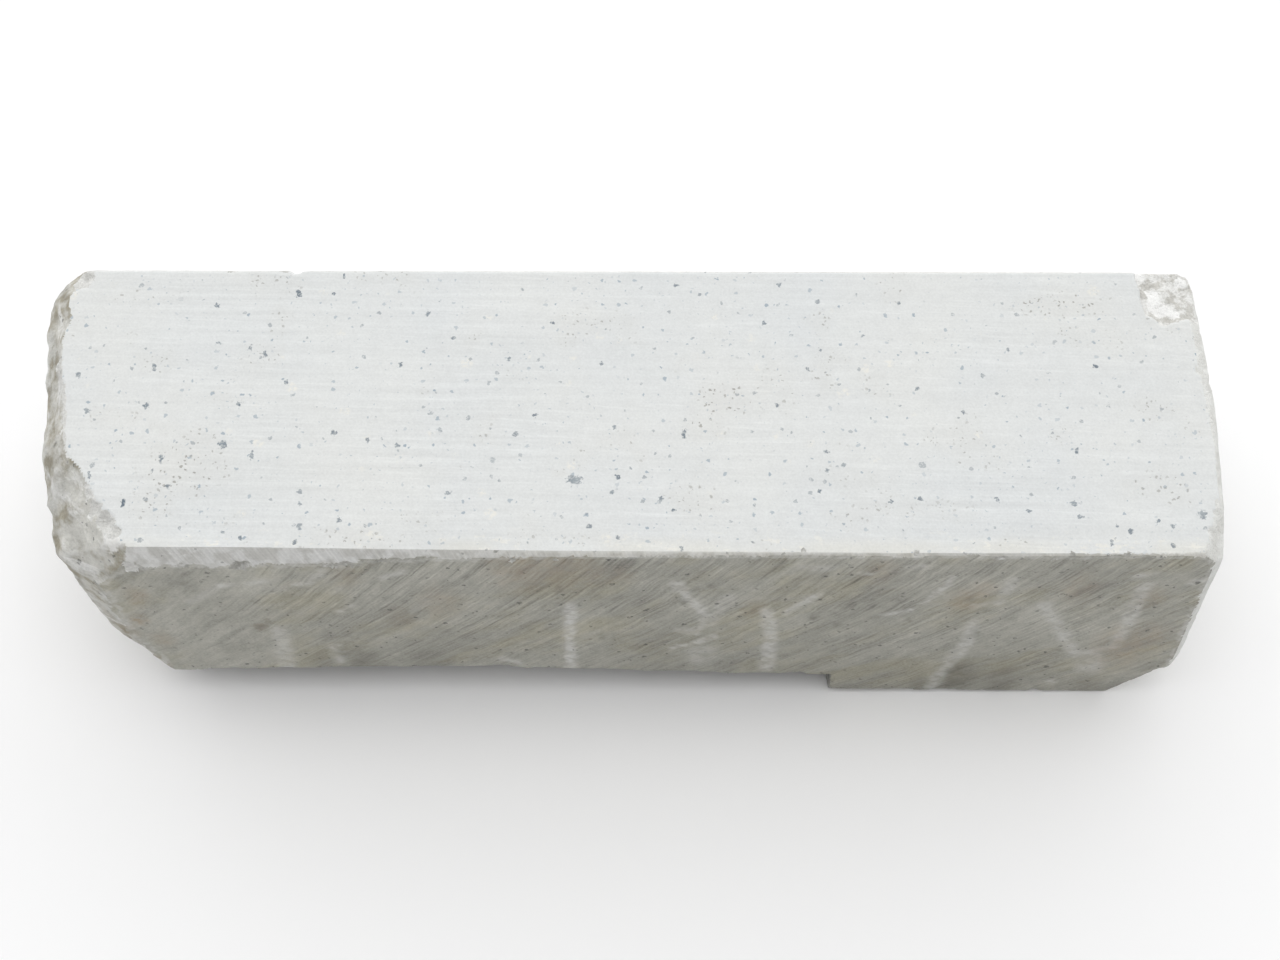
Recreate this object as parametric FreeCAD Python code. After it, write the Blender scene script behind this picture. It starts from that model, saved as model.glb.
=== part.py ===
"""Natural sharpening whetstone: one quarried block of fine speckled stone, lapped flat on top.

The block is a sawn bar. Its top is the honing face, dressed flat. The long side at -Y, the
back at +Y and the +X end are saw-cut. The -X end is a natural break with several facets.
A long flake is lost from the lower front edge, and it stops at a square step. The block
stands on its flat underside.

Frame: millimetres, +X along the stone, +Y to its back, +Z up out of the honing face.
Origin: centre of the block's footprint, on the underside.
"""
import FreeCAD, Part
import os

V = FreeCAD.Vector

# ---------------------------------------------------------------- driving dimensions, mm
LENGTH = 206.0          # overall, along X
WIDTH = 57.5            # overall, along Y
HEIGHT = 57.0           # underside to honing face

HX, HY, HZ = LENGTH / 2, WIDTH / 2, HEIGHT

FRONT_BEVEL_LEFT = 4.0      # hand-filed bevel under the front top edge: deep at the -X end
FRONT_BEVEL_MID = 1.3       # and shallow from the middle on
FRONT_BEVEL_IN = 1.35       # how far it eats into the honing face at the -X end
BACK_BEVEL = 0.85
END_BEVEL_IN = 2.3          # bevel on the top edge of the sawn +X end
END_BEVEL_DOWN = 2.0
CORNER_HOLLOW = 0.45        # unlapped corner: how far it lies under the honing face

STEP_X = 38.4               # the lost flake stops here with a square step
SPLIT_X = -22.0             # the roof of the scar changes slope here
FLAKE_H_LEFT = 9.2          # height of the scar at the front face, at the -X end
FLAKE_H_SPLIT = 11.4        # where its two lengths meet
FLAKE_H_STEP = 7.7          # and at the step
FLAKE_DEPTH = 21.0          # how far back the scar runs until it meets the underside

REACH = 400.0               # size of the tool blocks used to cut a plane


def halfspace(p0, normal):
    """A block filling the side of the plane through p0 that normal points to."""
    n = V(*normal).normalize()
    b = Part.makeBox(REACH, REACH, REACH, V(-REACH / 2, -REACH / 2, 0))
    b.Placement = FreeCAD.Placement(V(*p0), FreeCAD.Rotation(V(0, 0, 1), n))
    return b


def plane3(a, b, c, inside=(0.0, 0.0, 28.0)):
    """(point, outward normal) of the plane through three points, away from inside."""
    a, b, c, q = V(*a), V(*b), V(*c), V(*inside)
    n = (b - a).cross(c - a).normalize()
    if (q - a).dot(n) > 0:
        n = n * -1.0
    return (a.x, a.y, a.z), (n.x, n.y, n.z)


# ------------------------------------------------------------------------ the sawn bar
stone = Part.makeBox(LENGTH, WIDTH, HEIGHT, V(-HX, -HY, 0))

# each entry is three points of a plane; what lies outside it is removed
FACETS = {
    # long top edges
    "front_bevel_left": (
        (-88.0, -HY, HZ - FRONT_BEVEL_LEFT),
        (-15.0, -HY, HZ - FRONT_BEVEL_MID),
        (-88.0, -HY + FRONT_BEVEL_IN, HZ),
    ),
    "front_bevel_right": (
        (-88.0, -HY, HZ - FRONT_BEVEL_MID),
        (97.0, -HY, HZ - FRONT_BEVEL_MID - 0.4),
        (-88.0, -HY + 0.85, HZ),
    ),
    "back_bevel": ((-90.0, HY - BACK_BEVEL, HZ), (95.0, HY - BACK_BEVEL, HZ), (-90.0, HY, HZ - 1.9)),
    # the sawn +X end: slightly bulged, bevelled on top, eased vertical edges
    "end_lean_rear": ((HX, 2.5, 30.0), (102.0, 20.5, 30.0), (HX, 2.5, 50.0)),
    "end_lean_front": ((HX, -1.0, 30.0), (102.3, -18.5, 30.0), (HX, -1.0, 50.0)),
    "end_bevel_rear": ((102.0 - END_BEVEL_IN, 21.0, HZ), (101.0, 0.5, HZ), (102.0, 20.5, HZ - END_BEVEL_DOWN)),
    "end_bevel_front": ((101.6, -3.0, HZ), (101.2, -16.0, HZ), (102.6, -13.5, HZ - END_BEVEL_DOWN)),
    "end_front_edge": ((99.6, -HY, 50.0), (99.95, -HY, 18.0), (102.45, -HY + 2.5, 30.0)),
    "end_rear_edge": ((100.8, HY, 56.0), (101.0, HY, 0.0), (102.0, HY - 5.0, 30.0)),
    "end_front_corner_chip": ((97.5, -28.4, HZ), (100.9, -18.6, HZ), (101.2, -HY + 0.3, HZ - 4.6)),
    "end_foot": ((90.2, -HY, 0.0), (100.0, -HY, 12.0), (93.8, 6.0, 0.0)),
    "end_foot_rear": ((96.6, -10.0, 0.0), (99.6, HY, 0.0), (102.8, 10.0, 5.0)),
    # the broken -X end: upper facets lean out as they go down
    "break_rear_top": ((-94.2, 28.0, HZ), (-98.9, 20.4, HZ), (-102.9, 24.4, HZ - 5.0)),
    "break_rear_mid": ((-98.6, HY, HZ - 5.0), (-102.9, 23.3, HZ - 7.0), (-101.4, 23.3, 20.0)),
    "break_upper_rear": ((-99.3, 17.5, HZ), (-97.6, 4.5, HZ), (-103.0, 14.3, HZ - 5.0)),
    "break_upper_mid": ((-97.1, 3.0, HZ), (-96.0, -8.6, HZ), (-100.8, 1.5, HZ - 5.0)),
    "break_front_top": ((-93.7, -11.6, HZ), (-83.6, -25.8, HZ), (-98.3, -20.0, HZ - 9.0)),
    "break_front_mid": ((-96.6, -9.0, HZ - 1.2), (-98.6, -17.0, HZ - 8.0), (-96.9, -25.8, HZ - 9.5)),
    "break_front_corner": ((-82.0, -HY, HZ - 3.6), (-88.9, -HY, HZ - 12.0), (-90.8, -24.6, HZ - 4.6)),
    # and lean in below their widest point
    "break_low_front": ((-96.8, -24.0, 45.5), (-90.3, -24.0, 20.0), (-98.5, -6.0, 44.0)),
    "break_low_rear": ((-102.4, 10.0, 46.0), (-101.4, 23.0, 42.0), (-93.8, 10.0, 9.0)),
    "break_foot_front": ((-88.6, -25.0, 18.6), (-81.0, -25.0, 3.0), (-91.6, -4.0, 18.0)),
    "break_foot_rear": ((-92.8, 4.0, 16.0), (-84.0, 4.0, 0.0), (-86.2, 26.0, 0.0)),
    # spalls on the front-left vertical edge
    "front_left_edge": ((-88.7, -HY, 45.0), (-87.3, -HY, 28.5), (-93.6, -25.4, 40.0)),
    "front_left_edge_low": ((-87.2, -HY, 28.4), (-81.9, -HY, 14.0), (-88.7, -26.3, 21.5)),
    # underside edges, knocked off at the quarry
    "foot_back": ((-70.0, 25.6, 0.0), (80.0, 26.8, 0.0), (0.0, HY, 2.8)),
    "foot_front": ((40.0, -HY, 1.5), (90.0, -HY, 0.3), (60.0, -HY + 2.2, 0.0)),
}

for name, pts in FACETS.items():
    p0, n = plane3(*pts)
    stone = stone.cut(halfspace(p0, n))


# ------------------------------------------------- the lost flake under the front face
# its roof slopes down to the back, in two lengths, and it stops square at STEP_X
def hull_tool(pts):
    """A closed six-sided tool from the corners of its two ends."""
    p = [V(*q) for q in pts]
    tris = [(0, 1, 2), (0, 2, 3), (4, 6, 5), (4, 7, 6), (0, 5, 1), (0, 4, 5),
            (1, 6, 2), (1, 5, 6), (2, 7, 3), (2, 6, 7), (3, 4, 0), (3, 7, 4)]
    faces = [Part.Face(Part.makePolygon([p[a], p[b], p[c], p[a]])) for a, b, c in tris]
    tool = Part.makeSolid(Part.makeShell(faces))
    if tool.Volume < 0:
        tool.reverse()
    return tool


for x0, x1, h0, h1, depth in (
    (-HX - 5.0, SPLIT_X, FLAKE_H_LEFT, FLAKE_H_SPLIT, FLAKE_DEPTH),
    (SPLIT_X, STEP_X, FLAKE_H_SPLIT, FLAKE_H_STEP, FLAKE_DEPTH - 2.0),
):
    front = -HY - 2.0
    back = -HY + depth
    g0 = h0 * (1 + 2.0 / depth)     # the roof line carried out to the tool's own front
    g1 = h1 * (1 + 2.0 / depth)
    low = -3.0
    stone = stone.cut(hull_tool([
        (x0, front, low), (x0, back + 6.0, low), (x0, back, 0.0), (x0, front, g0),
        (x1, front, low), (x1, back + 6.0, low), (x1, back, 0.0), (x1, front, g1),
    ]))

# --------------------------------------------- the unlapped corner behind the +X end
outline = [(90.4, 29.5), (91.6, 24.0), (92.2, 19.2), (94.6, 17.2), (99.0, 17.8), (105.0, 18.6), (105.0, 29.5)]
corner = Part.Face(Part.makePolygon([V(x, y, HZ - 8.0) for x, y in outline + outline[:1]]))
corner = corner.extrude(V(0, 0, 16.0))
p0, n = plane3((92.2, 19.2, HZ - CORNER_HOLLOW), (90.4, 28.5, HZ - CORNER_HOLLOW - 0.25), (101.0, 20.0, HZ - CORNER_HOLLOW - 1.0))
stone = stone.cut(corner.common(halfspace(p0, n)))

stone = stone.removeSplitter()
solid = stone.Solids[0]

os.makedirs("parts", exist_ok=True)
for f in os.listdir("parts"):
    if f.endswith(".step"):
        os.remove(os.path.join("parts", f))
solid.exportStep("parts/stone_block.step")

bb = solid.BoundBox
com = solid.CenterOfMass
print("solids", len(stone.Solids), "valid", solid.isValid(), "closed", solid.isClosed(), "faces", len(solid.Faces))
print("box x %.3f %.3f  y %.3f %.3f  z %.3f %.3f" % (bb.XMin, bb.XMax, bb.YMin, bb.YMax, bb.ZMin, bb.ZMax))
print("volume cm3 %.2f  com %.2f %.2f %.2f" % (solid.Volume / 1000.0, com.x, com.y, com.z))
for f in solid.Faces:
    c = f.CenterOfMass
    n = f.normalAt(0, 0)
    print("face %8.1f mm2 at %7.1f %7.1f %7.1f  n %5.2f %5.2f %5.2f" % (f.Area, c.x, c.y, c.z, n.x, n.y, n.z))
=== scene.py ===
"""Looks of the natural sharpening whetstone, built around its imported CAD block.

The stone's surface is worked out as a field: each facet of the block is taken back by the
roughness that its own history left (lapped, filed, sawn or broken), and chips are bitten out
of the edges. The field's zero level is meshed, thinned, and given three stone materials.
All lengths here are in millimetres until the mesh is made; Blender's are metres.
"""
import math
import bpy
import numpy as np
from mathutils import Matrix, Vector


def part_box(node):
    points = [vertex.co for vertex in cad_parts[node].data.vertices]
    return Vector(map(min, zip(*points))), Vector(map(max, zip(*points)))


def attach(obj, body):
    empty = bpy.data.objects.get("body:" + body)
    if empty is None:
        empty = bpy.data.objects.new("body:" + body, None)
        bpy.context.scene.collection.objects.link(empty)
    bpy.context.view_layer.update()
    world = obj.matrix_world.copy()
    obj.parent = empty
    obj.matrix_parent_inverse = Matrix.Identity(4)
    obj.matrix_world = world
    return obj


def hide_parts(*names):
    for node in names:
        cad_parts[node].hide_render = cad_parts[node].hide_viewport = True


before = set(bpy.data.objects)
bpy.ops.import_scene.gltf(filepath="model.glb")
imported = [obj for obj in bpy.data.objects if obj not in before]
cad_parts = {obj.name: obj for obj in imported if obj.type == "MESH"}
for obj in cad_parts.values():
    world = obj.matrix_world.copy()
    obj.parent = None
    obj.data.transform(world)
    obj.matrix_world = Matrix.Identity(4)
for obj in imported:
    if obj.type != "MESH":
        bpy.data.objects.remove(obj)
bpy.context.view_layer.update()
LOW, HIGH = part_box("stone_block")
HALF_X = (HIGH.x - LOW.x) * 500.0
HALF_Y = (HIGH.y - LOW.y) * 500.0
TOP_Z = HIGH.z * 1000.0

# ------------------------------------------------------------------ seeded gradient noise
_rng = np.random.RandomState(20261)
_PERM = np.tile(_rng.permutation(256), 2).astype(np.int32)
_g = _rng.normal(size=(256, 3))
_GRAD = (_g / np.linalg.norm(_g, axis=1, keepdims=True)).astype(np.float32)


def gnoise(x, y, z, seed=0):
    """Gradient noise, about -1 to 1, at unit wavelength."""
    x = np.asarray(x, np.float32) + np.float32(seed * 17.31)
    y = np.asarray(y, np.float32) + np.float32(seed * 5.77 + 3.1)
    z = np.asarray(z, np.float32) + np.float32(seed * 9.13 + 7.7)
    x, y, z = np.broadcast_arrays(x, y, z)
    ix, iy, iz = np.floor(x), np.floor(y), np.floor(z)
    fx, fy, fz = x - ix, y - iy, z - iz
    ix, iy, iz = ix.astype(np.int32) & 255, iy.astype(np.int32) & 255, iz.astype(np.int32) & 255
    u = fx * fx * fx * (fx * (fx * 6 - 15) + 10)
    v = fy * fy * fy * (fy * (fy * 6 - 15) + 10)
    w = fz * fz * fz * (fz * (fz * 6 - 15) + 10)
    out = np.zeros(x.shape, np.float32)
    for cx in (0, 1):
        a = _PERM[ix + cx]
        wx = u if cx else 1 - u
        for cy in (0, 1):
            b = _PERM[a + ((iy + cy) & 255)]
            wxy = wx * (v if cy else 1 - v)
            for cz in (0, 1):
                g = _GRAD[_PERM[b + ((iz + cz) & 255)]]
                d = g[..., 0] * (fx - cx) + g[..., 1] * (fy - cy) + g[..., 2] * (fz - cz)
                out += wxy * (w if cz else 1 - w) * d
    return out * 1.7


def fbm(x, y, z, wave, octaves, seed=0, gain=0.5, lac=2.03):
    out, amp, k = 0.0, 1.0, 1.0 / wave
    for o in range(octaves):
        out = out + amp * gnoise(x * k, y * k, z * k, seed + o * 7)
        amp *= gain
        k *= lac
    return out


def ridged(x, y, z, wave, octaves, seed=0):
    out, amp, k = 0.0, 1.0, 1.0 / wave
    for o in range(octaves):
        out = out + amp * (1 - 2 * np.abs(gnoise(x * k, y * k, z * k, seed + o * 7)))
        amp *= 0.5
        k *= 2.1
    return out


def sstep(a, b, v):
    t = np.clip((v - a) / (b - a), 0, 1)
    return t * t * (3 - 2 * t)


def plane3(a, b, c, inside=(0.0, 0.0, 28.0)):
    a, b, c, q = (np.array(v, float) for v in (a, b, c, inside))
    n = np.cross(b - a, c - a)
    n /= np.linalg.norm(n)
    if (q - a) @ n > 0:
        n = -n
    return n, float(n @ a)


def wear_at(X, Y):
    """How far the honing face is worn down along its front edge."""
    return 0.030 * np.maximum(-(Y + 23.5), 0) * (
        sstep(-68, -52, X) * sstep(-14, -34, X) + sstep(62, 72, X) * sstep(99, 92, X))


def make_planes(HX, HY, HZ):
    """name -> (kind, normal, offset): the block's own planes, in mm."""
    t = {
        "front": ("saw", ((0, -HY, 0), (10, -HY, 0), (0, -HY, 10))),
        "back": ("saw", ((0, HY, 0), (10, HY, 0), (0, HY, 10))),
        "top": ("lap", ((0, 0, HZ), (10, 0, HZ), (0, 10, HZ))),
        "under": ("low", ((0, 0, 0), (10, 0, 0), (0, 10, 0))),
        "left": ("brk", ((-HX, 0, 0), (-HX, 10, 0), (-HX, 0, 10))),
        "right": ("end", ((HX, 0, 0), (HX, 10, 0), (HX, 0, 10))),
        "back_bevel": ("bev", ((-90, HY - 0.85, HZ), (95, HY - 0.85, HZ), (-90, HY, HZ - 1.9))),
        "end_lean_rear": ("end", ((HX, 2.5, 30), (102.0, 20.5, 30), (HX, 2.5, 50))),
        "end_lean_front": ("end", ((HX, -1, 30), (102.3, -18.5, 30), (HX, -1, 50))),
        "end_bevel_rear": ("rim", ((99.7, 21, HZ), (101.0, 0.5, HZ), (102.0, 20.5, HZ - 2.0))),
        "end_bevel_front": ("rim", ((101.6, -3, HZ), (101.2, -16, HZ), (102.6, -13.5, HZ - 2.0))),
        "end_front_edge": ("rim", ((99.6, -HY, 50), (99.95, -HY, 18), (102.45, -HY + 2.5, 30))),
        "end_rear_edge": ("rim", ((100.8, HY, 56), (101.0, HY, 0), (102.0, HY - 5, 30))),
        "end_front_corner_chip": ("rim", ((97.5, -28.4, HZ), (100.9, -18.6, HZ), (101.2, -HY + 0.3, HZ - 4.6))),
        "end_foot": ("brk", ((90.2, -HY, 0), (100.0, -HY, 12), (93.8, 6, 0))),
        "end_foot_rear": ("brk", ((96.6, -10, 0), (99.6, HY, 0), (102.8, 10, 5))),
        "break_rear_top": ("brk", ((-94.2, 28.0, HZ), (-98.9, 20.4, HZ), (-102.9, 24.4, HZ - 5))),
        "break_rear_mid": ("brk", ((-98.6, HY, HZ - 5), (-102.9, 23.3, HZ - 7), (-101.4, 23.3, 20))),
        "break_upper_rear": ("brk", ((-99.3, 17.5, HZ), (-97.6, 4.5, HZ), (-103.0, 14.3, HZ - 5))),
        "break_upper_mid": ("brk", ((-97.1, 3.0, HZ), (-96.0, -8.6, HZ), (-100.8, 1.5, HZ - 5))),
        "break_front_top": ("brk", ((-93.7, -11.6, HZ), (-83.6, -25.8, HZ), (-98.3, -20.0, HZ - 9))),
        "break_front_mid": ("brk", ((-96.6, -9.0, HZ - 1.2), (-98.6, -17.0, HZ - 8), (-96.9, -25.8, HZ - 9.5))),
        "break_front_corner": ("brk", ((-82.0, -HY, HZ - 3.6), (-88.9, -HY, HZ - 12), (-90.8, -24.6, HZ - 4.6))),
        "break_low_front": ("brk", ((-96.8, -24.0, 45.5), (-90.3, -24.0, 20), (-98.5, -6.0, 44))),
        "break_low_rear": ("brk", ((-102.4, 10, 46), (-101.4, 23, 42), (-93.8, 10, 9))),
        "break_foot_front": ("brk", ((-88.6, -25, 18.6), (-81, -25, 3), (-91.6, -4, 18))),
        "break_foot_rear": ("brk", ((-92.8, 4, 16), (-84, 4, 0), (-86.2, 26, 0))),
        "front_left_edge": ("brk", ((-88.7, -HY, 45), (-87.3, -HY, 28.5), (-93.6, -25.4, 40))),
        "front_left_edge_low": ("brk", ((-88.3, -HY, 28.4), (-83.4, -HY, 14), (-90.1, -26.3, 21.5))),
        "foot_back": ("low", ((-70, 25.6, 0), (80, 26.8, 0), (0, HY, 2.8))),
        "foot_front": ("low", ((40, -HY, 1.5), (90, -HY, 0.3), (60, -HY + 2.2, 0))),
    }
    out = {}
    for k, (kind, pts) in t.items():
        n, d = plane3(*pts)
        out[k] = (kind, n.astype(np.float32), np.float32(d))
    return out


# the front bevel: how far it reaches in from the front, and how far down, along x
BEVEL_X = (-92.0, -78.0, -62.0, -48.0, -30.0, -12.0, 20.0, 60.0, 98.0)
BEVEL_IN = (1.50, 1.50, 1.48, 1.36, 1.15, 0.95, 0.82, 0.62, 0.95)
BEVEL_DOWN = (4.5, 4.8, 4.8, 3.8, 2.1, 1.10, 0.78, 0.78, 0.80)


def front_bevel(X, Y, Z, HY, HZ):
    a = np.interp(X, BEVEL_X, BEVEL_IN)
    b = np.interp(X, BEVEL_X, BEVEL_DOWN)
    return ((1 - (Y + HY) / a - (HZ - Z) / b) / np.sqrt(1 / a ** 2 + 1 / b ** 2)).astype(np.float32)


KINDS = ("lap", "bev", "saw", "end", "rim", "brk", "low", "flake", "crumb", "chip")


def stone_field(P, HX, HY, HZ, planes, want_kind=False):
    """Signed distance-like field of the worn stone at P (N x 3, mm): negative inside.
    With want_kind it also gives which kind of surface is outermost."""
    X, Y, Z = (np.ascontiguousarray(P[:, i], np.float32) for i in range(3))
    N = len(X)
    clean = {k: n[0] * X + n[1] * Y + n[2] * Z - d for k, (_, n, d) in planes.items()}
    clean["front_bevel"] = front_bevel(X, Y, Z, HY, HZ)
    base = np.full(N, -1e9, np.float32)
    for v in clean.values():
        np.maximum(base, v, out=base)
    f = np.full(N, -1e9, np.float32)
    kind = np.zeros(N, np.int8)

    def put(val, name, idx=None):
        k = KINDS.index(name)
        if idx is None:
            m = val > f
            f[m] = val[m]
            kind[m] = k
        else:
            cur = f[idx]
            m = val > cur
            ii = idx[m]
            f[ii] = val[m]
            kind[ii] = k

    # broken facets share one warp, so that they meet in natural ridges
    brk = [k for k, v in planes.items() if v[0] == "brk"]
    mb = np.full(N, -1e9, np.float32)
    for k in brk:
        np.maximum(mb, clean[k], out=mb)
    idx = np.nonzero(mb > base - 4.0)[0]
    if len(idx):
        x, y, z = X[idx], Y[idx], Z[idx]
        # the narrow facets at the front corner are smoother than the rest
        calm = 0.35 + 0.65 * sstep(-25.5, -17.0, y + 2.0 * sstep(46.0, 52.0, z))
        w, w2 = 1.1 * calm, 0.5 * calm
        wx = w * gnoise(x / 13, y / 13, z / 13, 1) + w2 * gnoise(x / 5, y / 5, z / 5, 2)
        wy = w * gnoise(x / 13, y / 13, z / 13, 3) + w2 * gnoise(x / 5, y / 5, z / 5, 4)
        wz = w * gnoise(x / 13, y / 13, z / 13, 5) + w2 * gnoise(x / 5, y / 5, z / 5, 6)
        m = np.full(len(idx), -1e9, np.float32)
        for k in brk:
            _, n, d = planes[k]
            np.maximum(m, n[0] * (x + wx) + n[1] * (y + wy) + n[2] * (z + wz) - d, out=m)
        rough = 0.26 * ridged(x, y, z, 7.5, 2, 11) + 0.15 * fbm(x, y, z, 2.2, 3, 12)
        # bedding steps: the rock parts along gently tilted layers
        lay = z + 0.10 * y - 0.05 * x + 1.2 * gnoise(x / 9, y / 9, z / 9, 13)
        steps = 0.22 * np.abs(((lay / 3.1) % 1.0) - 0.5)
        put(m + (rough + steps) * (0.4 + 0.6 * calm) - 0.58 + 0.66 * calm, "brk", idx)

    def sub(names, thick):
        m = np.full(N, -1e9, np.float32)
        for k in names:
            np.maximum(m, clean[k], out=m)
        return m, np.nonzero(m > base - thick)[0]

    # the sawn front, with slanting saw marks that fade towards the broken end
    m, idx = sub(["front"], 2.5)
    if len(idx):
        x, z = X[idx], Z[idx]
        t = HZ - z
        s = x + 0.55 * t + 0.0055 * t * t
        c = 0 * x
        strong = 0.35 + 0.65 * sstep(-66, -38, x + 5 * gnoise(x / 12, z / 12, c, 20))
        marks = 0.085 * gnoise(s / 2.3, t / 30, c, 21) + 0.05 * gnoise(s / 1.15, t / 20, c, 22) + 0.10 * gnoise(s / 7.5, t / 45, c, 27)
        marks = marks * strong
        wave = 0.16 * gnoise(x / 34, z / 22, c, 23) + 0.05 * gnoise(x / 9, z / 8, c, 24)
        # shallow broken patches where the saw did not reach
        p = gnoise(x / 15, z / 7.5, c, 25) + 0.4 * gnoise(x / 4.2, z / 3.0, c, 26)
        patch = sstep(0.30, 0.55, p)
        left = sstep(-50, -78, x)
        rough = (0.10 + 0.22 * left) * fbm(x, z, c, 3.6, 3, 28)
        put(m[idx] + 0.22 + marks * (1 - 0.7 * patch) + wave + patch * 0.20 + rough * (0.35 + 0.65 * np.maximum(patch, left)), "saw", idx)
    m, idx = sub(["back"], 2.5)
    if len(idx):
        x, z = X[idx], Z[idx]
        t = HZ - z
        s = x - 0.7 * t - 0.004 * t * t
        c = 0 * x + 4.0
        marks = 0.08 * gnoise(s / 2.4, t / 30, c, 31) + 0.05 * gnoise(s / 1.2, t / 18, c, 32)
        wave = 0.22 * gnoise(x / 38, z / 25, c, 33) + 0.06 * gnoise(x / 8, z / 7, c, 34)
        patch = sstep(0.28, 0.6, gnoise(x / 18, z / 11, c, 35))
        put(m[idx] + 0.22 + marks * (1 - 0.7 * patch) + wave + patch * 0.25 * (1 + fbm(x, z, c, 3.2, 2, 36)), "saw", idx)
    m, idx = sub([k for k, v in planes.items() if v[0] == "end"], 2.5)
    if len(idx):
        y, z = Y[idx], Z[idx]
        c = 0 * y + 9.0
        s = y * 0.8 + z * 0.6
        marks = 0.07 * gnoise(s / 2.2, (y * 0.6 - z * 0.8) / 26, c, 41) + 0.05 * gnoise(s / 1.0, (y * 0.6 - z * 0.8) / 14, c, 42)
        put(m[idx] + 0.12 + marks + 0.10 * gnoise(y / 15, z / 15, c, 43) + 0.06 * fbm(y, z, c, 2.5, 2, 44), "end", idx)
    m, idx = sub([k for k, v in planes.items() if v[0] == "rim"], 2.0)
    if len(idx):
        x, y, z = X[idx], Y[idx], Z[idx]
        put(m[idx] + 0.10 * fbm(x, y, z, 3.0, 3, 46) + 0.16 * gnoise(x / 8, y / 8, z / 8, 47), "rim", idx)
    m, idx = sub(["front_bevel", "back_bevel"], 2.0)
    if len(idx):
        x, y, z = X[idx], Y[idx], Z[idx]
        put(m[idx] + 0.030 * gnoise((x + 0.6 * z) / 0.9, y / 4, z / 4, 48) + 0.02 * gnoise(x / 7, y / 7, z / 7, 49), "bev", idx)
    m, idx = sub(["under", "foot_back", "foot_front"], 3.0)
    if len(idx):
        x, y, z = X[idx], Y[idx], Z[idx]
        r = 0.30 * gnoise(x / 12, y / 12, z / 12, 51) + 0.22 * fbm(x, y, z, 4.0, 3, 52)
        put(m[idx] + np.maximum(r, 0.0) * 1.0, "low", idx)

    # the honing face: dead flat but for a little wear along the front edge
    put(clean["top"] + wear_at(X, Y).astype(np.float32), "lap")
    # a filed strip on the broken end's top edge
    n, d = plane3((-94.9, -8.2, HZ), (-96.2, 3.2, HZ), (-97.8, -3.5, HZ - 0.55))
    v = (n[0] * X + n[1] * Y + n[2] * Z - d).astype(np.float32)
    idx = np.nonzero((v > base - 1.0) & (Y < 4.5) & (Y > -9.5) & (X < -90))[0]
    if len(idx):
        x, y = X[idx], Y[idx]
        put(v[idx] + 0.03 * gnoise((x + y) / 0.8, (x - y) / 5, 0 * x, 55), "rim", idx)

    # the lost flake: a tool that is taken away
    idx = np.nonzero((Z < 16) & (Y < -2) & (X < 44))[0]
    if len(idx):
        x, y, z = X[idx], Y[idx], Z[idx]
        nx = 0.8 * gnoise(x / 9, y / 9, z / 9, 61) + 0.3 * fbm(x, y, z, 2.8, 2, 62)
        step_x = 38.4 + 0.35 * gnoise(y / 5, z / 5, 0 * x, 63)
        left = x < -22
        h0 = np.where(left, 9.2 + (11.4 - 9.2) * (x + HX + 5) / (HX + 5 - 22), 11.4 + (7.7 - 11.4) * (x + 22) / 60.4)
        depth = np.where(left, 21.0, 19.0)
        roof = h0 * (1 - (y + HY) / depth)            # height of the scar's roof at this y
        slope = np.sqrt(1 + (h0 / depth) ** 2)
        below = (z - roof) / slope + nx * 0.55        # negative under the roof
        put(-np.maximum(below, x - step_x), "flake", idx)

    # the unlapped corner
    idx = np.nonzero((X > 84) & (Y > 12) & (Z > HZ - 8))[0]
    if len(idx):
        x, y, z = X[idx], Y[idx], Z[idx]
        px = x + 0.7 * gnoise(x / 3.2, y / 3.2, z / 3.2, 71) + 0.35 * gnoise(x / 1.3, y / 1.3, z / 1.3, 72)
        py = y + 0.7 * gnoise(x / 3.2, y / 3.2, z / 3.2, 73) + 0.35 * gnoise(x / 1.3, y / 1.3, z / 1.3, 74)
        poly = [(90.4, 29.5), (91.6, 24.0), (92.2, 19.2), (94.6, 17.2), (99.0, 17.8), (106.0, 18.6)]
        side = np.full(len(idx), -1e9, np.float32)
        cen = np.array([98.0, 24.0])
        for (ax, ay), (bx, by) in zip(poly[:-1], poly[1:]):
            n2 = np.array([by - ay, -(bx - ax)], float)
            n2 /= np.linalg.norm(n2)
            if (cen - np.array([ax, ay])) @ n2 > 0:
                n2 = -n2
            np.maximum(side, ((px - ax) * n2[0] + (py - ay) * n2[1]).astype(np.float32), out=side)
        n, d = plane3((92.2, 19.2, HZ - 0.45), (90.4, 28.5, HZ - 0.7), (101.0, 20.0, HZ - 1.45))
        floor = (n[0] * x + n[1] * y + n[2] * z - d)
        floor = floor + 0.45 * gnoise(x / 3.4, y / 3.4, z / 3.4, 75) + 0.35 * np.abs(gnoise(x / 1.5, y / 1.5, z / 1.5, 76)) + 0.12 * gnoise(x / 0.8, y / 0.8, z / 0.8, 77)
        put(-np.maximum(side, -floor).astype(np.float32), "crumb", idx)

    # chips: noisy balls bitten out of the edges
    for (cx, cy, cz), r, sd in CHIPS:
        idx = np.nonzero((np.abs(X - cx) < r + 1) & (np.abs(Y - cy) < r + 1) & (np.abs(Z - cz) < r + 1))[0]
        if not len(idx):
            continue
        x, y, z = X[idx], Y[idx], Z[idx]
        dd = np.sqrt((x - cx) ** 2 + (y - cy) ** 2 + (z - cz) ** 2)
        dd = dd + 0.24 * r * gnoise(x / (0.6 * r), y / (0.6 * r), z / (0.6 * r), sd) + 0.12 * gnoise(x / 0.9, y / 0.9, z / 0.9, sd)
        put((r - dd).astype(np.float32), "chip", idx)
    if want_kind:
        return f, kind, base
    return f


CHIPS = []


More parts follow.
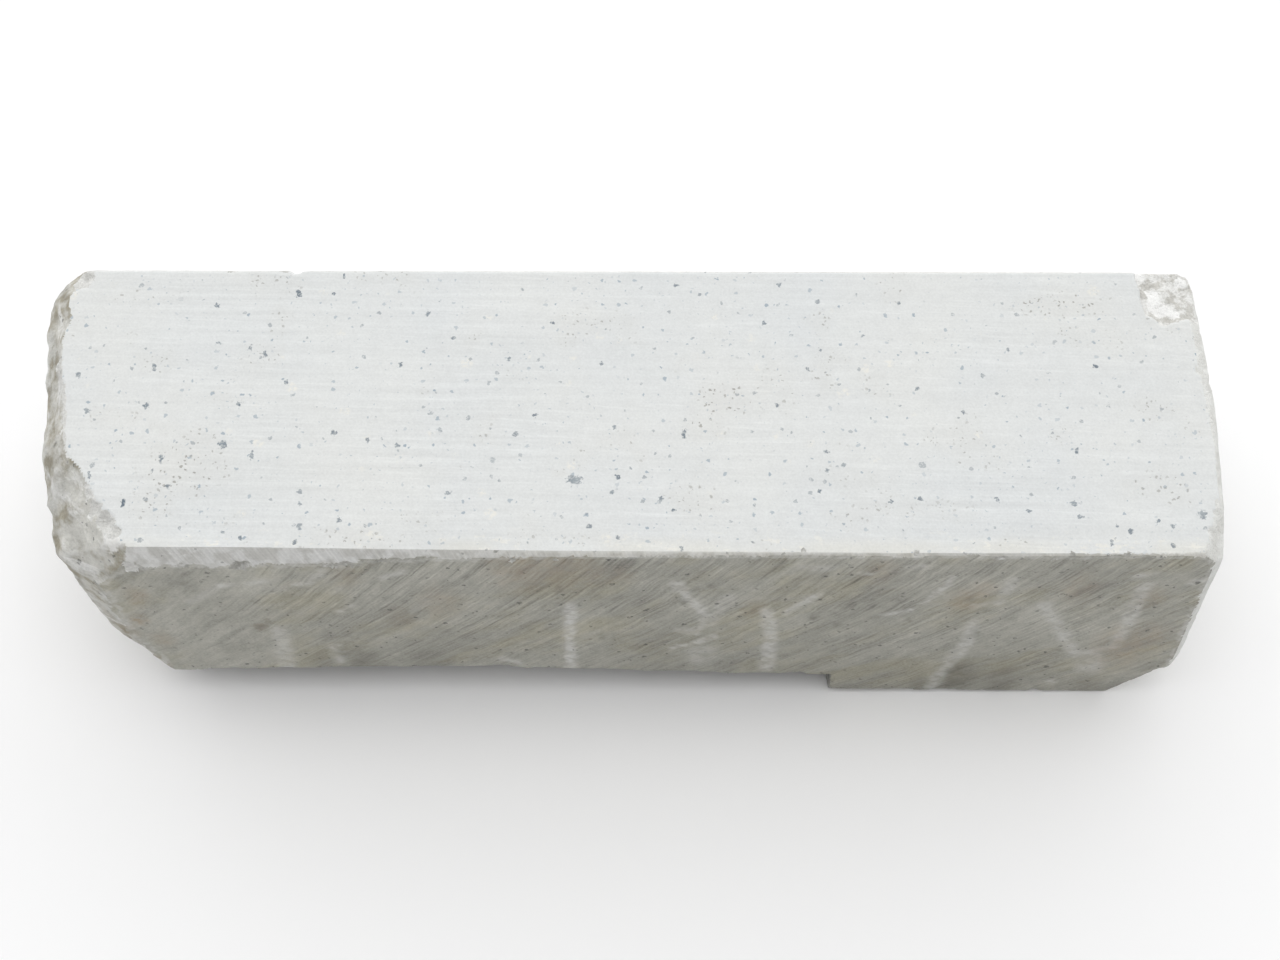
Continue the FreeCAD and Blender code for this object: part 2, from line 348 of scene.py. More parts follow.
def make_chips(HX, HY, HZ):
    r = np.random.RandomState(41)
    out = []

    def along(a, b, n, rmin, rmax, bite, outward):
        a, b, o = np.array(a, float), np.array(b, float), np.array(outward, float)
        o /= np.linalg.norm(o)
        for _ in range(n):
            t = r.rand()
            rad = rmin + (rmax - rmin) * r.rand() ** 2
            deep = bite * (0.35 + 0.65 * r.rand())
            p = a + (b - a) * t + o * (rad - deep) + r.normal(size=3) * 0.15
            out.append((tuple(p), rad, int(r.randint(100, 200))))

    # front top edge: nearly clean
    along((-80, -27.5, HZ), (98, -27.9, HZ), 9, 0.4, 0.8, -0.10, (0, -0.8, 0.6))
    along((20, -27.7, HZ), (98, -27.9, HZ), 5, 0.4, 0.8, -0.25, (0, -0.8, 0.6))
    # under the front bevel: shallow shells
    along((-84, -HY, HZ - 4.6), (-50, -HY, HZ - 4.0), 9, 1.6, 4.0, 0.46, (0, -1, -0.1))
    along((-50, -HY, HZ - 3.9), (-14, -HY, HZ - 1.5), 7, 1.2, 3.0, 0.40, (0, -1, -0.1))
    along((-14, -HY, HZ - 1.2), (98, -HY, HZ - 1.1), 9, 0.9, 2.4, 0.30, (0, -1, -0.1))
    # the broken end's edge with the honing face
    for a, b, n in (((-94, 27.5, HZ), (-99, 20.5, HZ), 3), ((-99.2, 18, HZ), (-97.3, 3, HZ), 8),
                    ((-97, 3, HZ), (-96, -9, HZ), 3), ((-95, -10, HZ), (-83.5, -25.5, HZ), 10)):
        along(a, b, n, 0.8, 3.4, 0.38, (-0.8, -0.2, 0.5))
    # sawn end: top rim and upright corners
    along((99.6, 18, HZ), (101.5, -10, HZ), 4, 0.6, 1.4, 0.28, (0.7, 0, 0.6))
    along((101, -18, HZ), (98, -27.5, HZ), 6, 0.6, 1.4, 0.4, (0.7, -0.4, 0.6))
    along((102.2, 18, HZ - 2), (103, 0, HZ - 2), 4, 0.9, 2.0, 0.3, (1, 0, 0.3))
    along((100, -28.4, 54), (100.4, -28.4, 14), 6, 0.8, 2.0, 0.36, (0.7, -0.7, 0))
    along((102.3, -26.3, 54), (102.3, -26.3, 12), 6, 0.8, 2.2, 0.36, (0.9, -0.4, 0))
    along((101.3, 28.3, 55), (101.3, 28.3, 3), 16, 0.9, 3.0, 0.7, (0.7, 0.7, 0))
    # back top edge: nearly clean
    along((-90, 28.1, HZ), (88, 28.1, HZ), 12, 0.5, 1.3, 0.25, (0, 0.8, 0.6))
    out.append(((-57.8, 29.3, HZ - 0.2), 1.9, 150))
    # lower edges
    along((-78, -28.6, 9.6), (37, -28.6, 8.2), 26, 1.2, 4.5, 0.7, (0, -0.6, -0.7))
    along((40, -28.5, 0.5), (90, -28.5, 0.2), 14, 1.0, 3.2, 0.5, (0, -0.7, -0.7))
    along((-82, 27.8, 1.5), (96, 27.8, 1.5), 40, 1.5, 5.5, 0.9, (0, 0.7, -0.7))
    along((90.5, -28.5, 0.5), (99.6, -28.5, 11.5), 6, 1.0, 3.0, 0.5, (0.4, -0.8, -0.5))
    along((93, 0, 0), (99, 27, 0), 10, 1.5, 4.0, 0.8, (0.6, 0, -0.8))
    return out


def surface_nets(f, origin, h):
    """Quads of the zero level of grid f."""
    s = f > 0
    nx, ny, nz = f.shape
    c = s[:-1, :-1, :-1].astype(np.int8)
    for dx, dy, dz in ((1, 0, 0), (0, 1, 0), (0, 0, 1), (1, 1, 0), (1, 0, 1), (0, 1, 1), (1, 1, 1)):
        c = c + s[dx:nx - 1 + dx, dy:ny - 1 + dy, dz:nz - 1 + dz]
    act = np.argwhere((c > 0) & (c < 8))
    ident = np.full((nx - 1, ny - 1, nz - 1), -1, np.int32)
    ident[act[:, 0], act[:, 1], act[:, 2]] = np.arange(len(act), dtype=np.int32)
    acc = np.zeros((len(act), 3))
    cnt = np.zeros(len(act))
    corners = [(0, 0, 0), (1, 0, 0), (0, 1, 0), (1, 1, 0), (0, 0, 1), (1, 0, 1), (0, 1, 1), (1, 1, 1)]
    vals = [f[act[:, 0] + a, act[:, 1] + b, act[:, 2] + d] for a, b, d in corners]
    for i in range(8):
        for j in range(i + 1, 8):
            ci, cj = np.array(corners[i]), np.array(corners[j])
            if abs(ci - cj).sum() != 1:
                continue
            a, b = vals[i], vals[j]
            m = (a > 0) != (b > 0)
            t = (a[m] / (a[m] - b[m]))[:, None]
            acc[m] += ci + (cj - ci) * t
            cnt[m] += 1
    verts = origin + (act + acc / cnt[:, None]) * h
    quads = []
    for ax in range(3):
        o1, o2 = (ax + 1) % 3, (ax + 2) % 3
        sl0, sl1 = [slice(None)] * 3, [slice(None)] * 3
        sl0[ax], sl1[ax] = slice(0, -1), slice(1, None)
        a, b = s[tuple(sl0)], s[tuple(sl1)]
        e = np.argwhere(a != b)
        e = e[(e[:, o1] > 0) & (e[:, o2] > 0) & (e[:, o1] < f.shape[o1] - 1) & (e[:, o2] < f.shape[o2] - 1)]
        flip = a[e[:, 0], e[:, 1], e[:, 2]]
        q = []
        for d1, d2 in ((0, 0), (1, 0), (1, 1), (0, 1)):
            g = e.copy()
            g[:, o1] -= d1
            g[:, o2] -= d2
            q.append(ident[g[:, 0], g[:, 1], g[:, 2]])
        q = np.stack(q, 1)
        q[flip] = q[flip][:, ::-1]
        quads.append(q)
    return verts, np.concatenate(quads)


def build_stone(HX, HY, HZ, h=0.45):
    planes = make_planes(HX, HY, HZ)
    CHIPS[:] = make_chips(HX, HY, HZ)
    pad = 3 * h
    lo = np.array([-HX - pad, -HY - pad, -pad - 0.1]) + 0.13
    n = np.ceil((np.array([HX + pad, HY + pad, HZ + pad]) - lo) / h).astype(int) + 1
    ax = [lo[i] + h * np.arange(n[i]) for i in range(3)]
    F = np.empty(tuple(n), np.float32)
    YZ = np.stack(np.meshgrid(ax[1], ax[2], indexing="ij"), -1).reshape(-1, 2).astype(np.float32)
    ns = np.array([v[1] for v in planes.values()], np.float32)
    ds = np.array([v[2] for v in planes.values()], np.float32)
    A = YZ @ ns[:, 1:].T - ds            # (ny*nz, planes)
    pts, where = [], []
    for i, x in enumerate(ax[0]):
        base = (A + np.float32(x) * ns[:, 0]).max(1)
        base = np.maximum(base, front_bevel(np.float32(x), YZ[:, 0], YZ[:, 1], HY, HZ))
        # the lost flake is open too
        yy, zz = YZ[:, 0], YZ[:, 1]
        if x < 41:
            h0 = (9.2 + 2.2 * (x + HX + 5) / (HX + 5 - 22)) if x < -22 else 11.4 - 3.7 * (x + 22) / 60.4
            dep = 21.0 if x < -22 else 19.0
            roof = h0 * (1 - (yy + HY) / dep)
            base = np.maximum(base, -np.maximum((zz - roof) / np.sqrt(1 + (h0 / dep) ** 2), x - 38.4))
        F[i] = base.reshape(n[1], n[2])
        near = np.abs(base) < 2.6
        # the honing face stays where it is: a thin band is enough there
        k = np.nonzero(near)[0]
        pts.append(np.column_stack([np.full(len(k), x, np.float32), YZ[k]]))
        where.append(i * n[1] * n[2] + k)
    pts, where = np.concatenate(pts), np.concatenate(where)
    flat = (np.abs(pts[:, 2] - HZ) < 2.6) & (np.abs(pts[:, 0]) < 80) & (np.abs(pts[:, 1]) < 24) & (np.abs(pts[:, 2] - HZ) > 0.8)
    pts, where = pts[~flat], where[~flat]
    F.reshape(-1)[where] = stone_field(pts, HX, HY, HZ, planes)
    verts, quads = surface_nets(F, lo, h)
    # draw the points beside the crease between face and bevel onto it, so that the edge is clean
    x, y, z = verts.T
    a = np.interp(x, BEVEL_X, BEVEL_IN)
    cy, cz = -HY + a, HZ - wear_at(x, -HY + a)
    near = (x > -83) & (x < 97) & (np.hypot(y - cy, z - cz) < 0.56 * h)
    verts[near, 1], verts[near, 2] = cy[near], cz[near]
    return verts, quads, planes


# ------------------------------------------------------------------ painted marks, in mm
# scuffs on the sawn front: (x, z) ends, width, strength
SCUFFS = [
    ((-8.9, 37.6), (-9.5, 10.6), 1.4, 0.85), ((25.4, 35.8), (26.7, 24.8), 1.9, 0.62),
    ((26.7, 24.8), (26.5, 10.8), 2.1, 0.66), ((9.2, 45.8), (11.8, 40.1), 1.5, 0.62),
    ((11.8, 40.1), (14.4, 35.2), 1.6, 0.60), ((14.4, 35.2), (14.3, 29.2), 1.5, 0.50),
    ((10.5, 27.5), (13.2, 26.4), 1.5, 0.60), ((8.8, 19.5), (13.8, 22.4), 1.0, 0.66),
    ((13.8, 22.4), (16.3, 24.7), 1.5, 0.60), ((14.1, 19.2), (14.6, 14.9), 4.2, 0.34),
    ((18.6, 41.3), (15.3, 29.2), 2.0, 0.30), ((28.9, 34.8), (33.4, 41.3), 1.2, 0.55),
    ((30.0, 52.0), (35.6, 52.1), 1.5, 0.30), ((46.5, 33.8), (50.5, 35.8), 0.9, 0.75),
    ((52.5, 38.3), (55.5, 45.5), 0.9, 0.62), ((55.5, 45.5), (56.2, 48.5), 1.1, 0.50),
    ((61.3, 37.8), (65.6, 38.3), 1.3, 0.42), ((65.6, 38.3), (66.7, 47.8), 1.6, 0.40),
    ((62.3, 31.4), (61.8, 21.4), 1.7, 0.50), ((61.8, 21.4), (59.4, 11.5), 1.9, 0.66),
    ((59.4, 11.5), (57.5, 2.6), 1.9, 0.66), ((73.4, 38.0), (78.8, 25.1), 2.0, 0.50),
    ((78.8, 25.1), (82.1, 17.4), 2.0, 0.52), ((89.8, 45.2), (89.5, 32.2), 2.1, 0.58),
    ((89.5, 32.2), (88.6, 20.9), 1.9, 0.55), ((88.6, 20.9), (83.1, 17.4), 1.4, 0.45),
    ((84.7, 16.1), (85.8, 11.7), 3.8, 0.36), ((87.5, 48.9), (90.1, 50.0), 1.4, 0.50),
    ((97.4, 46.8), (99.1, 47.9), 1.3, 0.55), ((48.1, 52.8), (51.4, 52.9), 1.1, 0.50),
    ((40.8, 50.3), (42.7, 50.3), 1.0, 0.55), ((79.1, 4.8), (79.9, 4.3), 1.2, 0.50),
    ((-60.7, 27.4), (-61.5, 11.3), 2.6, 0.46), ((-51.7, 19.8), (-51.2, 13.6), 1.7, 0.55),
    ((-49.3, 34.4), (-46.7, 36.4), 1.1, 0.50), ((-68.7, 44.8), (-66.4, 44.8), 1.2, 0.55),
    ((-64.0, 45.4), (-60.7, 46.6), 1.0, 0.50), ((-56.1, 45.1), (-52.5, 46.6), 1.0, 0.55),
    ((-52.5, 46.6), (-50.5, 51.1), 1.4, 0.40), ((-40.7, 47.7), (-36.8, 50.4), 1.2, 0.45),
    ((-36.3, 35.0), (-31.1, 43.8), 1.3, 0.22), ((-21.3, 14.7), (-19.0, 13.3), 1.5, 0.55),
    ((-74.9, 38.0), (-69.7, 43.6), 1.4, 0.25),
]
# rust-coloured and dark stains on the front: (x, z), radius, rust, dark
STAINS = [
    ((-84.8, 31.4), 1.7, 0.95, 0.00), ((-83.6, 40.8), 2.4, 0.45, 0.00), ((-82.2, 23.0), 2.6, 0.35, 0.10),
    ((-87.5, 26.4), 2.4, 0.30, 0.20), ((-64.0, 28.6), 1.3, 0.40, 0.75), ((-62.3, 30.7), 0.9, 0.20, 0.60),
    ((-46.8, 13.6), 4.2, 0.00, 0.62), ((-50.3, 16.7), 2.2, 0.00, 0.50), ((-54.4, 12.7), 3.0, 0.00, 0.40),
    ((-35.3, 11.0), 4.5, 0.00, 0.35), ((62.0, 7.9), 4.6, 0.05, 0.62), ((70.1, 5.2), 4.4, 0.05, 0.45),
    ((86.2, 3.5), 3.6, 0.05, 0.45), ((55.5, 3.3), 3.0, 0.00, 0.40), ((90.1, 20.5), 6.5, 0.36, 0.00),
    ((94.5, 24.0), 4.5, 0.30, 0.00), ((59.9, 40.3), 3.6, 0.40, 0.05), ((62.3, 43.5), 3.0, 0.30, 0.00),
    ((43.8, 51.1), 3.4, 0.25, 0.00), ((-16.9, 53.1), 7.0, 0.38, 0.00), ((-10.2, 52.4), 6.0, 0.32, 0.00),
    ((-5.2, 50.9), 4.0, 0.25, 0.00), ((-0.2, 49.8), 3.0, 0.22, 0.05), ((22.8, 36.1), 2.4, 0.25, 0.20),
    ((-46.9, 48.4), 3.0, 0.25, 0.10), ((-31.5, 38.2), 4.5, 0.25, 0.00), ((-39.0, 31.7), 3.5, 0.20, 0.10),
    ((91.4, 40.5), 3.2, 0.30, 0.10), ((78.6, 44.4), 4.0, 0.25, 0.00), ((-3.5, 24.7), 1.1, 0.00, 0.60),
    ((11.0, 38.9), 0.9, 0.00, 0.75), ((33.9, 33.3), 1.1, 0.00, 0.65), ((38.1, 29.6), 1.0, 0.00, 0.55),
    ((15.7, 45.6), 1.0, 0.00, 0.60), ((-10.7, 43.5), 1.1, 0.00, 0.55), ((62.9, 26.4), 1.1, 0.00, 0.50),
    ((49.7, 33.4), 0.9, 0.00, 0.40), ((50.5, 31.3), 1.0, 0.00, 0.50), ((60.4, 39.5), 1.0, 0.10, 0.60),
    ((68.8, 32.7), 0.9, 0.00, 0.50), ((-75.0, 45.5), 1.2, 0.00, 0.40),
]
# porous buff patches on the honing face: (x, y), radii, strength
BUFF = [
    ((-74, -12.5), 9.5, 6.5, 0.9), ((-79, -19), 6, 5, 0.6), ((-18.0, 6.0), 6.0, 2.4, 0.35),
    ((-10.0, -13.3), 2.2, 1.6, 0.9), ((18.0, 1.0), 7.0, 5.0, 0.8), ((14.0, -4.5), 5.5, 4.0, 0.6),
    ((13.0, -17.5), 5.5, 6.0, 0.55), ((78.0, 21.0), 13.0, 3.6, 0.75), ((86.0, 14.0), 7.0, 4.5, 0.35),
    ((-34.0, -22.0), 8.0, 3.0, 0.4), ((55.0, -20.0), 8.0, 3.2, 0.35), ((-86.0, 22.5), 9.0, 1.6, 0.45),
    ((-64.0, 8.0), 3.6, 2.4, 0.5), ((-6.0, -25.3), 7.0, 1.8, 0.4), ((38.0, -13.0), 8.0, 4.0, 0.35),
]


def dist_segment(px, pz, a, b):
    ax, az = a
    bx, bz = b
    dx, dz = bx - ax, bz - az
    t = np.clip(((px - ax) * dx + (pz - az) * dz) / (dx * dx + dz * dz), 0, 1)
    return np.hypot(px - ax - t * dx, pz - az - t * dz)


# ------------------------------------------------------------------ the stone's mesh
def largest_shell(count, quads):
    """Faces of the biggest connected piece."""
    lab = np.arange(count)
    while True:
        m = lab[quads].min(1)
        new = lab.copy()
        for c in range(4):
            np.minimum.at(new, quads[:, c], m)
        new = new[new]
        if (new == lab).all():
            break
        lab = new
    names, sizes = np.unique(lab, return_counts=True)
    keep = names[sizes.argmax()]
    return quads[lab[quads[:, 0]] == keep]


def make_mesh():
    verts, quads, planes = build_stone(HALF_X, HALF_Y, TOP_Z, 0.45)
    quads = largest_shell(len(verts), quads)
    used = np.unique(quads)
    index = np.full(len(verts), -1)
    index[used] = np.arange(len(used))
    verts, quads = verts[used], index[quads]
    a, b, c = verts[quads[:, 0]], verts[quads[:, 1]], verts[quads[:, 2]]
    if np.einsum("ij,ij->", a, np.cross(b, c)) < 0:
        quads = quads[:, ::-1]
    me = bpy.data.meshes.new("stone_raw")
    me.vertices.add(len(verts))
    me.vertices.foreach_set("co", (verts * 0.001).astype(np.float32).ravel())
    me.loops.add(len(quads) * 4)
    me.loops.foreach_set("vertex_index", quads.astype(np.int32).ravel())
    me.polygons.add(len(quads))
    me.polygons.foreach_set("loop_start", np.arange(0, len(quads) * 4, 4, dtype=np.int32))
    me.update(calc_edges=True)
    ob = bpy.data.objects.new("stone_raw", me)
    bpy.context.scene.collection.objects.link(ob)
    t = ob.modifiers.new("tri", "TRIANGULATE")
    t.quad_method = "SHORTEST_DIAGONAL"
    m = ob.modifiers.new("thin", "DECIMATE")
    m.ratio = min(1.0, 196000.0 / (2 * len(quads)))
    dg = bpy.context.evaluated_depsgraph_get()
    done = bpy.data.meshes.new_from_object(ob.evaluated_get(dg))
    bpy.data.objects.remove(ob)
    bpy.data.meshes.remove(me)
    return done, planes


def float_attribute(me, name, domain, values):
    a = me.attributes.new(name, "FLOAT", domain)
    a.data.foreach_set("value", np.ascontiguousarray(values, np.float32))


def paint_mesh(me, planes):
    """Stores on the mesh what each face is, and the scuffs and stains of its sides."""
    nv, nf = len(me.vertices), len(me.polygons)
    co = np.empty(nv * 3, np.float32)
    me.vertices.foreach_get("co", co)
    P = co.reshape(-1, 3) * 1000.0
    tri = np.empty(nf * 3, np.int32)
    me.loops.foreach_get("vertex_index", tri)
    tri = tri.reshape(-1, 3)
    C = P[tri].mean(1)
    _, kind, _ = stone_field(C, HALF_X, HALF_Y, TOP_Z, planes, True)
    float_attribute(me, "kind", "FACE", kind)
    x, y, z = P[:, 0], P[:, 1], P[:, 2]
    wob = 0.9 * gnoise(x / 2.6, z / 2.6, y * 0, 201) + 0.5 * gnoise(x / 1.1, z / 1.1, y * 0, 202)
    front = sstep(-HALF_Y + 2.5, -HALF_Y + 1.0, y)
    scuff = np.zeros(nv, np.float32)
    for a, b, w, k in SCUFFS:
        d = dist_segment(x + 0.5 * wob, z + 0.5 * wob, a, b)
        scuff = np.maximum(scuff, k * sstep(w * 1.0, w * 0.25, d))
    float_attribute(me, "scuff", "POINT", scuff * front)
    rust = np.zeros(nv, np.float32)
    dark = np.zeros(nv, np.float32)
    for (sx, sz), r, k, dk in STAINS:
        d = np.hypot(x - sx + 0.5 * wob, (z - sz + wob) * 0.6)
        m = sstep(r * 1.3, r * 0.2, d)
        rust = np.maximum(rust, k * m)
        dark = np.maximum(dark, dk * m)
    float_attribute(me, "rust", "POINT", rust * front)
    float_attribute(me, "dark", "POINT", dark * front)
    # how near each point is to an edge of the block
    val = np.stack([n[0] * x + n[1] * y + n[2] * z - d for _, n, d in planes.values()]
                   + [front_bevel(x, y, z, HALF_Y, TOP_Z)], 0)
    val.sort(0)
    float_attribute(me, "rimnear", "POINT", np.exp(-np.maximum(val[-1] - val[-2], 0) / 0.9))
    top = np.abs(z - TOP_Z) < 1.2
    float_attribute(me, "deep", "POINT", -val[-1])
    me.polygons.foreach_set("use_smooth", np.ones(nf, bool))
    # normals weighed by area; the flat honing face's own faces keep their face normal, so its edges stay sharp
    n = np.cross(P[tri[:, 1]] - P[tri[:, 0]], P[tri[:, 2]] - P[tri[:, 0]])
    area = np.linalg.norm(n, axis=1, keepdims=True) + 1e-12
    unit = n / area
    vn = np.zeros((nv, 3))
    for c in range(3):
        np.add.at(vn, tri[:, c], n * 1.0)
    vn /= np.linalg.norm(vn, axis=1, keepdims=True) + 1e-12
    loop_n = vn[tri].copy()
    flat = (np.abs(unit[:, 2]) > 0.995) & (C[:, 2] > TOP_Z - 0.3)
    loop_n[flat] = unit[flat][:, None, :]
    me.normals_split_custom_set(loop_n.reshape(-1, 3).astype(np.float32))


# ------------------------------------------------------------------ node helpers
class Tree:
    """Short names for the shader nodes used here."""

    def __init__(self, material):
        material.use_nodes = True
        self.t = material.node_tree
        self.t.nodes.clear()

    def put(self, socket, value):
        if isinstance(value, bpy.types.NodeSocket):
            self.t.links.new(value, socket)
        elif value is not None:
            if isinstance(value, (tuple, list)) and len(value) == 3 and len(socket.default_value) == 4:
                value = (*value, 1.0)
            socket.default_value = value

    def node(self, kind, out=0, props=None, **inputs):
        n = self.t.nodes.new(kind)
        for k, v in (props or {}).items():
            setattr(n, k, v)
        for k, v in inputs.items():
            key = int(k[1:]) if k[0] == "i" and k[1:].isdigit() else k.replace("_", " ")
            self.put(n.inputs[key], v)
        return n.outputs[out]

    def math(self, op, a, b=None, c=None, clamp=False):
        return self.node("ShaderNodeMath", props={"operation": op, "use_clamp": clamp}, i0=a, i1=b, i2=c)

    def add(self, a, b):
        return self.math("ADD", a, b)

    def sub(self, a, b):
        return self.math("SUBTRACT", a, b)

    def mul(self, a, b):
        return self.math("MULTIPLY", a, b)

    def mx(self, a, b):
        return self.math("MAXIMUM", a, b)

    def mn(self, a, b):
        return self.math("MINIMUM", a, b)

    def mad(self, a, b, c):
        return self.math("MULTIPLY_ADD", a, b, c)

    def smooth(self, v, a, b, lo=0.0, hi=1.0):
        """0 at a and 1 at b, eased; a may be above b."""
        if a > b:
            a, b, lo, hi = b, a, hi, lo
        return self.node("ShaderNodeMapRange", props={"interpolation_type": "SMOOTHSTEP"},
                         Value=v, From_Min=a, From_Max=b, To_Min=lo, To_Max=hi)

    def lin(self, v, a, b, lo, hi):
        return self.node("ShaderNodeMapRange", Value=v, From_Min=a, From_Max=b, To_Min=lo, To_Max=hi)

    def xyz(self, x, y, z):
        return self.node("ShaderNodeCombineXYZ", i0=x, i1=y, i2=z)

    def split(self, v):
        n = self.t.nodes.new("ShaderNodeSeparateXYZ")
        self.put(n.inputs[0], v)
        return n.outputs[0], n.outputs[1], n.outputs[2]

    def vec(self, op, a, b=None, scale=None, out=0):
        n = self.t.nodes.new("ShaderNodeVectorMath")
        n.operation = op
        self.put(n.inputs[0], a)
        if b is not None:
            self.put(n.inputs[1], b)
        if scale is not None:
            self.put(n.inputs["Scale"], scale)
        return n.outputs[out]

    def noise(self, v, wave, detail=2.0, rough=0.5, distort=0.0, out="Fac"):
        return self.node("ShaderNodeTexNoise", out, Vector=v, Scale=1.0 / wave, Detail=detail,
                         Roughness=rough, Distortion=distort)

    def voronoi(self, v, cell, dimensions="3D"):
        n = self.t.nodes.new("ShaderNodeTexVoronoi")
        n.voronoi_dimensions = dimensions
        self.put(n.inputs["Vector"], v)
        self.put(n.inputs["Scale"], 1.0 / cell)
        return n.outputs["Distance"], n.outputs["Color"]

    def mix(self, fac, a, b, blend="MIX"):
        n = self.t.nodes.new("ShaderNodeMix")
        n.data_type = "RGBA"
        n.blend_type = blend
        n.clamp_factor = True
        self.put(n.inputs["Factor"], fac)
        self.put(n.inputs[6], a)
        self.put(n.inputs[7], b)
        return n.outputs[2]

    def fmix(self, fac, a, b):
        n = self.t.nodes.new("ShaderNodeMix")
        n.data_type = "FLOAT"
        self.put(n.inputs["Factor"], fac)
        self.put(n.inputs[2], a)
        self.put(n.inputs[3], b)
        return n.outputs[0]

    def attr(self, name, out="Fac"):
        n = self.t.nodes.new("ShaderNodeAttribute")
        n.attribute_name = name
        return n.outputs[out]

    def is_kind(self, kind, name):
        k = KINDS.index(name)
        return self.math("COMPARE", kind, float(k), 0.5)

    def tint(self, colour, amount):
        """colour scaled by a value."""
        return self.vec("SCALE", colour, scale=amount)


def lin3(r, g, b):
    """Linear colour from display values 0 to 255."""
    return tuple((v / 255.0 / 12.92) if v <= 10.31 else (((v / 255.0) + 0.055) / 1.055) ** 2.4 for v in (r, g, b))


# the larger dark grains that show in the honing face: x, y, half size along x, half size along y
GRAINS = [
    (98.0, -20.6, 0.77, 0.85), (10.7, -5.2, 0.43, 0.94), (-7.8, -14.4, 1.19, 0.94),
    (25.1, 17.1, 0.43, 0.47), (9.5, 25.0, 0.34, 0.38), (13.8, 23.1, 0.34, 0.38), (27.8, 25.1, 0.34, 0.38),
    (48.7, 21.3, 0.34, 0.38), (42.2, 14.5, 0.34, 0.38), (34.6, 21.5, 0.34, 0.38), (34.6, 11.6, 0.34, 0.38),
    (32.4, 7.5, 0.34, 0.38), (26.8, 0.4, 0.34, 0.38), (51.1, 3.7, 0.34, 0.38), (58.8, -0.9, 0.43, 0.38),
    (35.1, -8.8, 0.43, 0.38), (37.9, -11.4, 0.34, 0.38), (35.0, -12.5, 0.34, 0.38),
    (33.5, -16.4, 0.34, 0.38), (50.5, -17.9, 0.43, 0.47), (63.5, -18.0, 0.34, 0.38),
    (45.6, -18.3, 0.34, 0.38), (67.5, 11.9, 0.34, 0.38), (62.7, 6.4, 0.34, 0.38), (82.4, 8.4, 0.43, 0.38),
    (77.8, -8.5, 0.34, 0.47), (76.4, -18.6, 0.51, 0.47), (77.2, -21.2, 0.60, 0.28),
    (85.4, -23.9, 0.43, 0.47), (83.3, -23.1, 0.34, 0.28), (92.7, -23.1, 0.43, 0.38),
    (92.2, -26.5, 0.43, 0.47), (82.2, -26.1, 0.43, 0.47), (90.4, -22.0, 0.34, 0.38),
    (68.7, -20.1, 0.60, 0.28), (-3.5, 8.6, 0.34, 0.38), (-14.7, -1.7, 0.43, 0.38),
    (-18.2, -5.4, 0.43, 0.38), (-19.7, 9.6, 0.34, 0.38), (-12.3, 17.0, 0.34, 0.38),
    (-29.6, 13.9, 0.34, 0.38), (-34.2, 19.0, 0.43, 0.38), (-38.6, 8.5, 0.34, 0.47),
    (-29.3, -16.9, 0.43, 0.38), (-38.2, -7.8, 0.34, 0.38), (-43.4, -6.7, 0.34, 0.38),
    (-49.3, -5.3, 0.60, 0.57), (-1.3, -4.2, 0.34, 0.38), (-0.5, -13.8, 0.43, 0.38),
    (-1.5, -16.7, 0.34, 0.38), (6.8, -17.8, 0.43, 0.38), (8.9, -19.9, 0.34, 0.38),
    (-5.3, -23.3, 0.43, 0.38), (-0.6, -25.4, 0.51, 0.38), (10.2, -27.4, 0.34, 0.47),
    (-54.3, -16.8, 0.43, 0.47), (-54.3, -19.1, 0.26, 0.38), (-54.0, -23.5, 0.34, 0.75),
    (-47.4, -22.3, 0.26, 0.47), (-63.7, -25.6, 0.26, 0.47), (-66.6, -24.6, 0.34, 0.38),
    (-54.5, -26.3, 0.34, 0.38), (-71.5, 20.6, 0.43, 0.47), (-57.2, 23.0, 0.43, 0.75),
    (-49.5, 26.8, 0.26, 0.47), (-51.0, 23.0, 0.34, 0.28), (-70.7, 12.7, 0.51, 0.47),
    (-65.0, 11.9, 0.34, 0.66), (-62.3, 10.7, 0.34, 0.75), (-81.4, 7.8, 0.34, 0.75),
    (-98.5, 18.9, 0.43, 0.66), (-94.4, 6.2, 0.43, 0.47), (-92.1, -1.1, 0.51, 0.47),
    (-82.0, 0.0, 0.51, 0.47), (-66.0, 0.4, 0.43, 0.57), (-58.2, 4.8, 0.34, 0.47),
    (-68.3, -7.7, 0.77, 0.75), (-63.0, -9.7, 0.34, 0.75), (-78.4, -10.5, 0.34, 0.75),
    (-79.7, -12.8, 0.34, 0.38), (-90.3, -13.8, 0.26, 1.13), (-84.0, -19.0, 0.26, 0.75),
    (-76.9, -15.7, 0.34, 0.47),
]


# ------------------------------------------------------------------ the stone's surfaces
TOP_A, TOP_B = (0.682, 0.701, 0.703), (0.714, 0.724, 0.710)
WORN, FAINT = (0.705, 0.700, 0.655), (0.330, 0.395, 0.450)
BUFF_COLOUR, PORE_COLOUR = (0.600, 0.590, 0.550), (0.315, 0.305, 0.275)
CREAM = (0.80, 0.785, 0.725)
SPOT_A, SPOT_B = (0.085, 0.125, 0.165), (0.185, 0.230, 0.265)
SAW_A, SAW_B, SAW_C = (0.470, 0.463, 0.416), (0.382, 0.377, 0.336), (0.395, 0.372, 0.285)
SCUFF, RUST, SOOT, SIDE_SPOT = (0.76, 0.76, 0.74), (0.36, 0.235, 0.120), (0.12, 0.115, 0.090), (0.085, 0.090, 0.085)
END_A = (0.51, 0.51, 0.48)
BRK_A, BRK_B, BRK_C = (0.365, 0.340, 0.275), (0.55, 0.545, 0.510), (0.76, 0.76, 0.745)
BEV_A, BEV_B = (0.565, 0.560, 0.535), (0.695, 0.695, 0.680)
CHALK_A, CHALK_B = (0.43, 0.425, 0.395), (0.68, 0.68, 0.66)
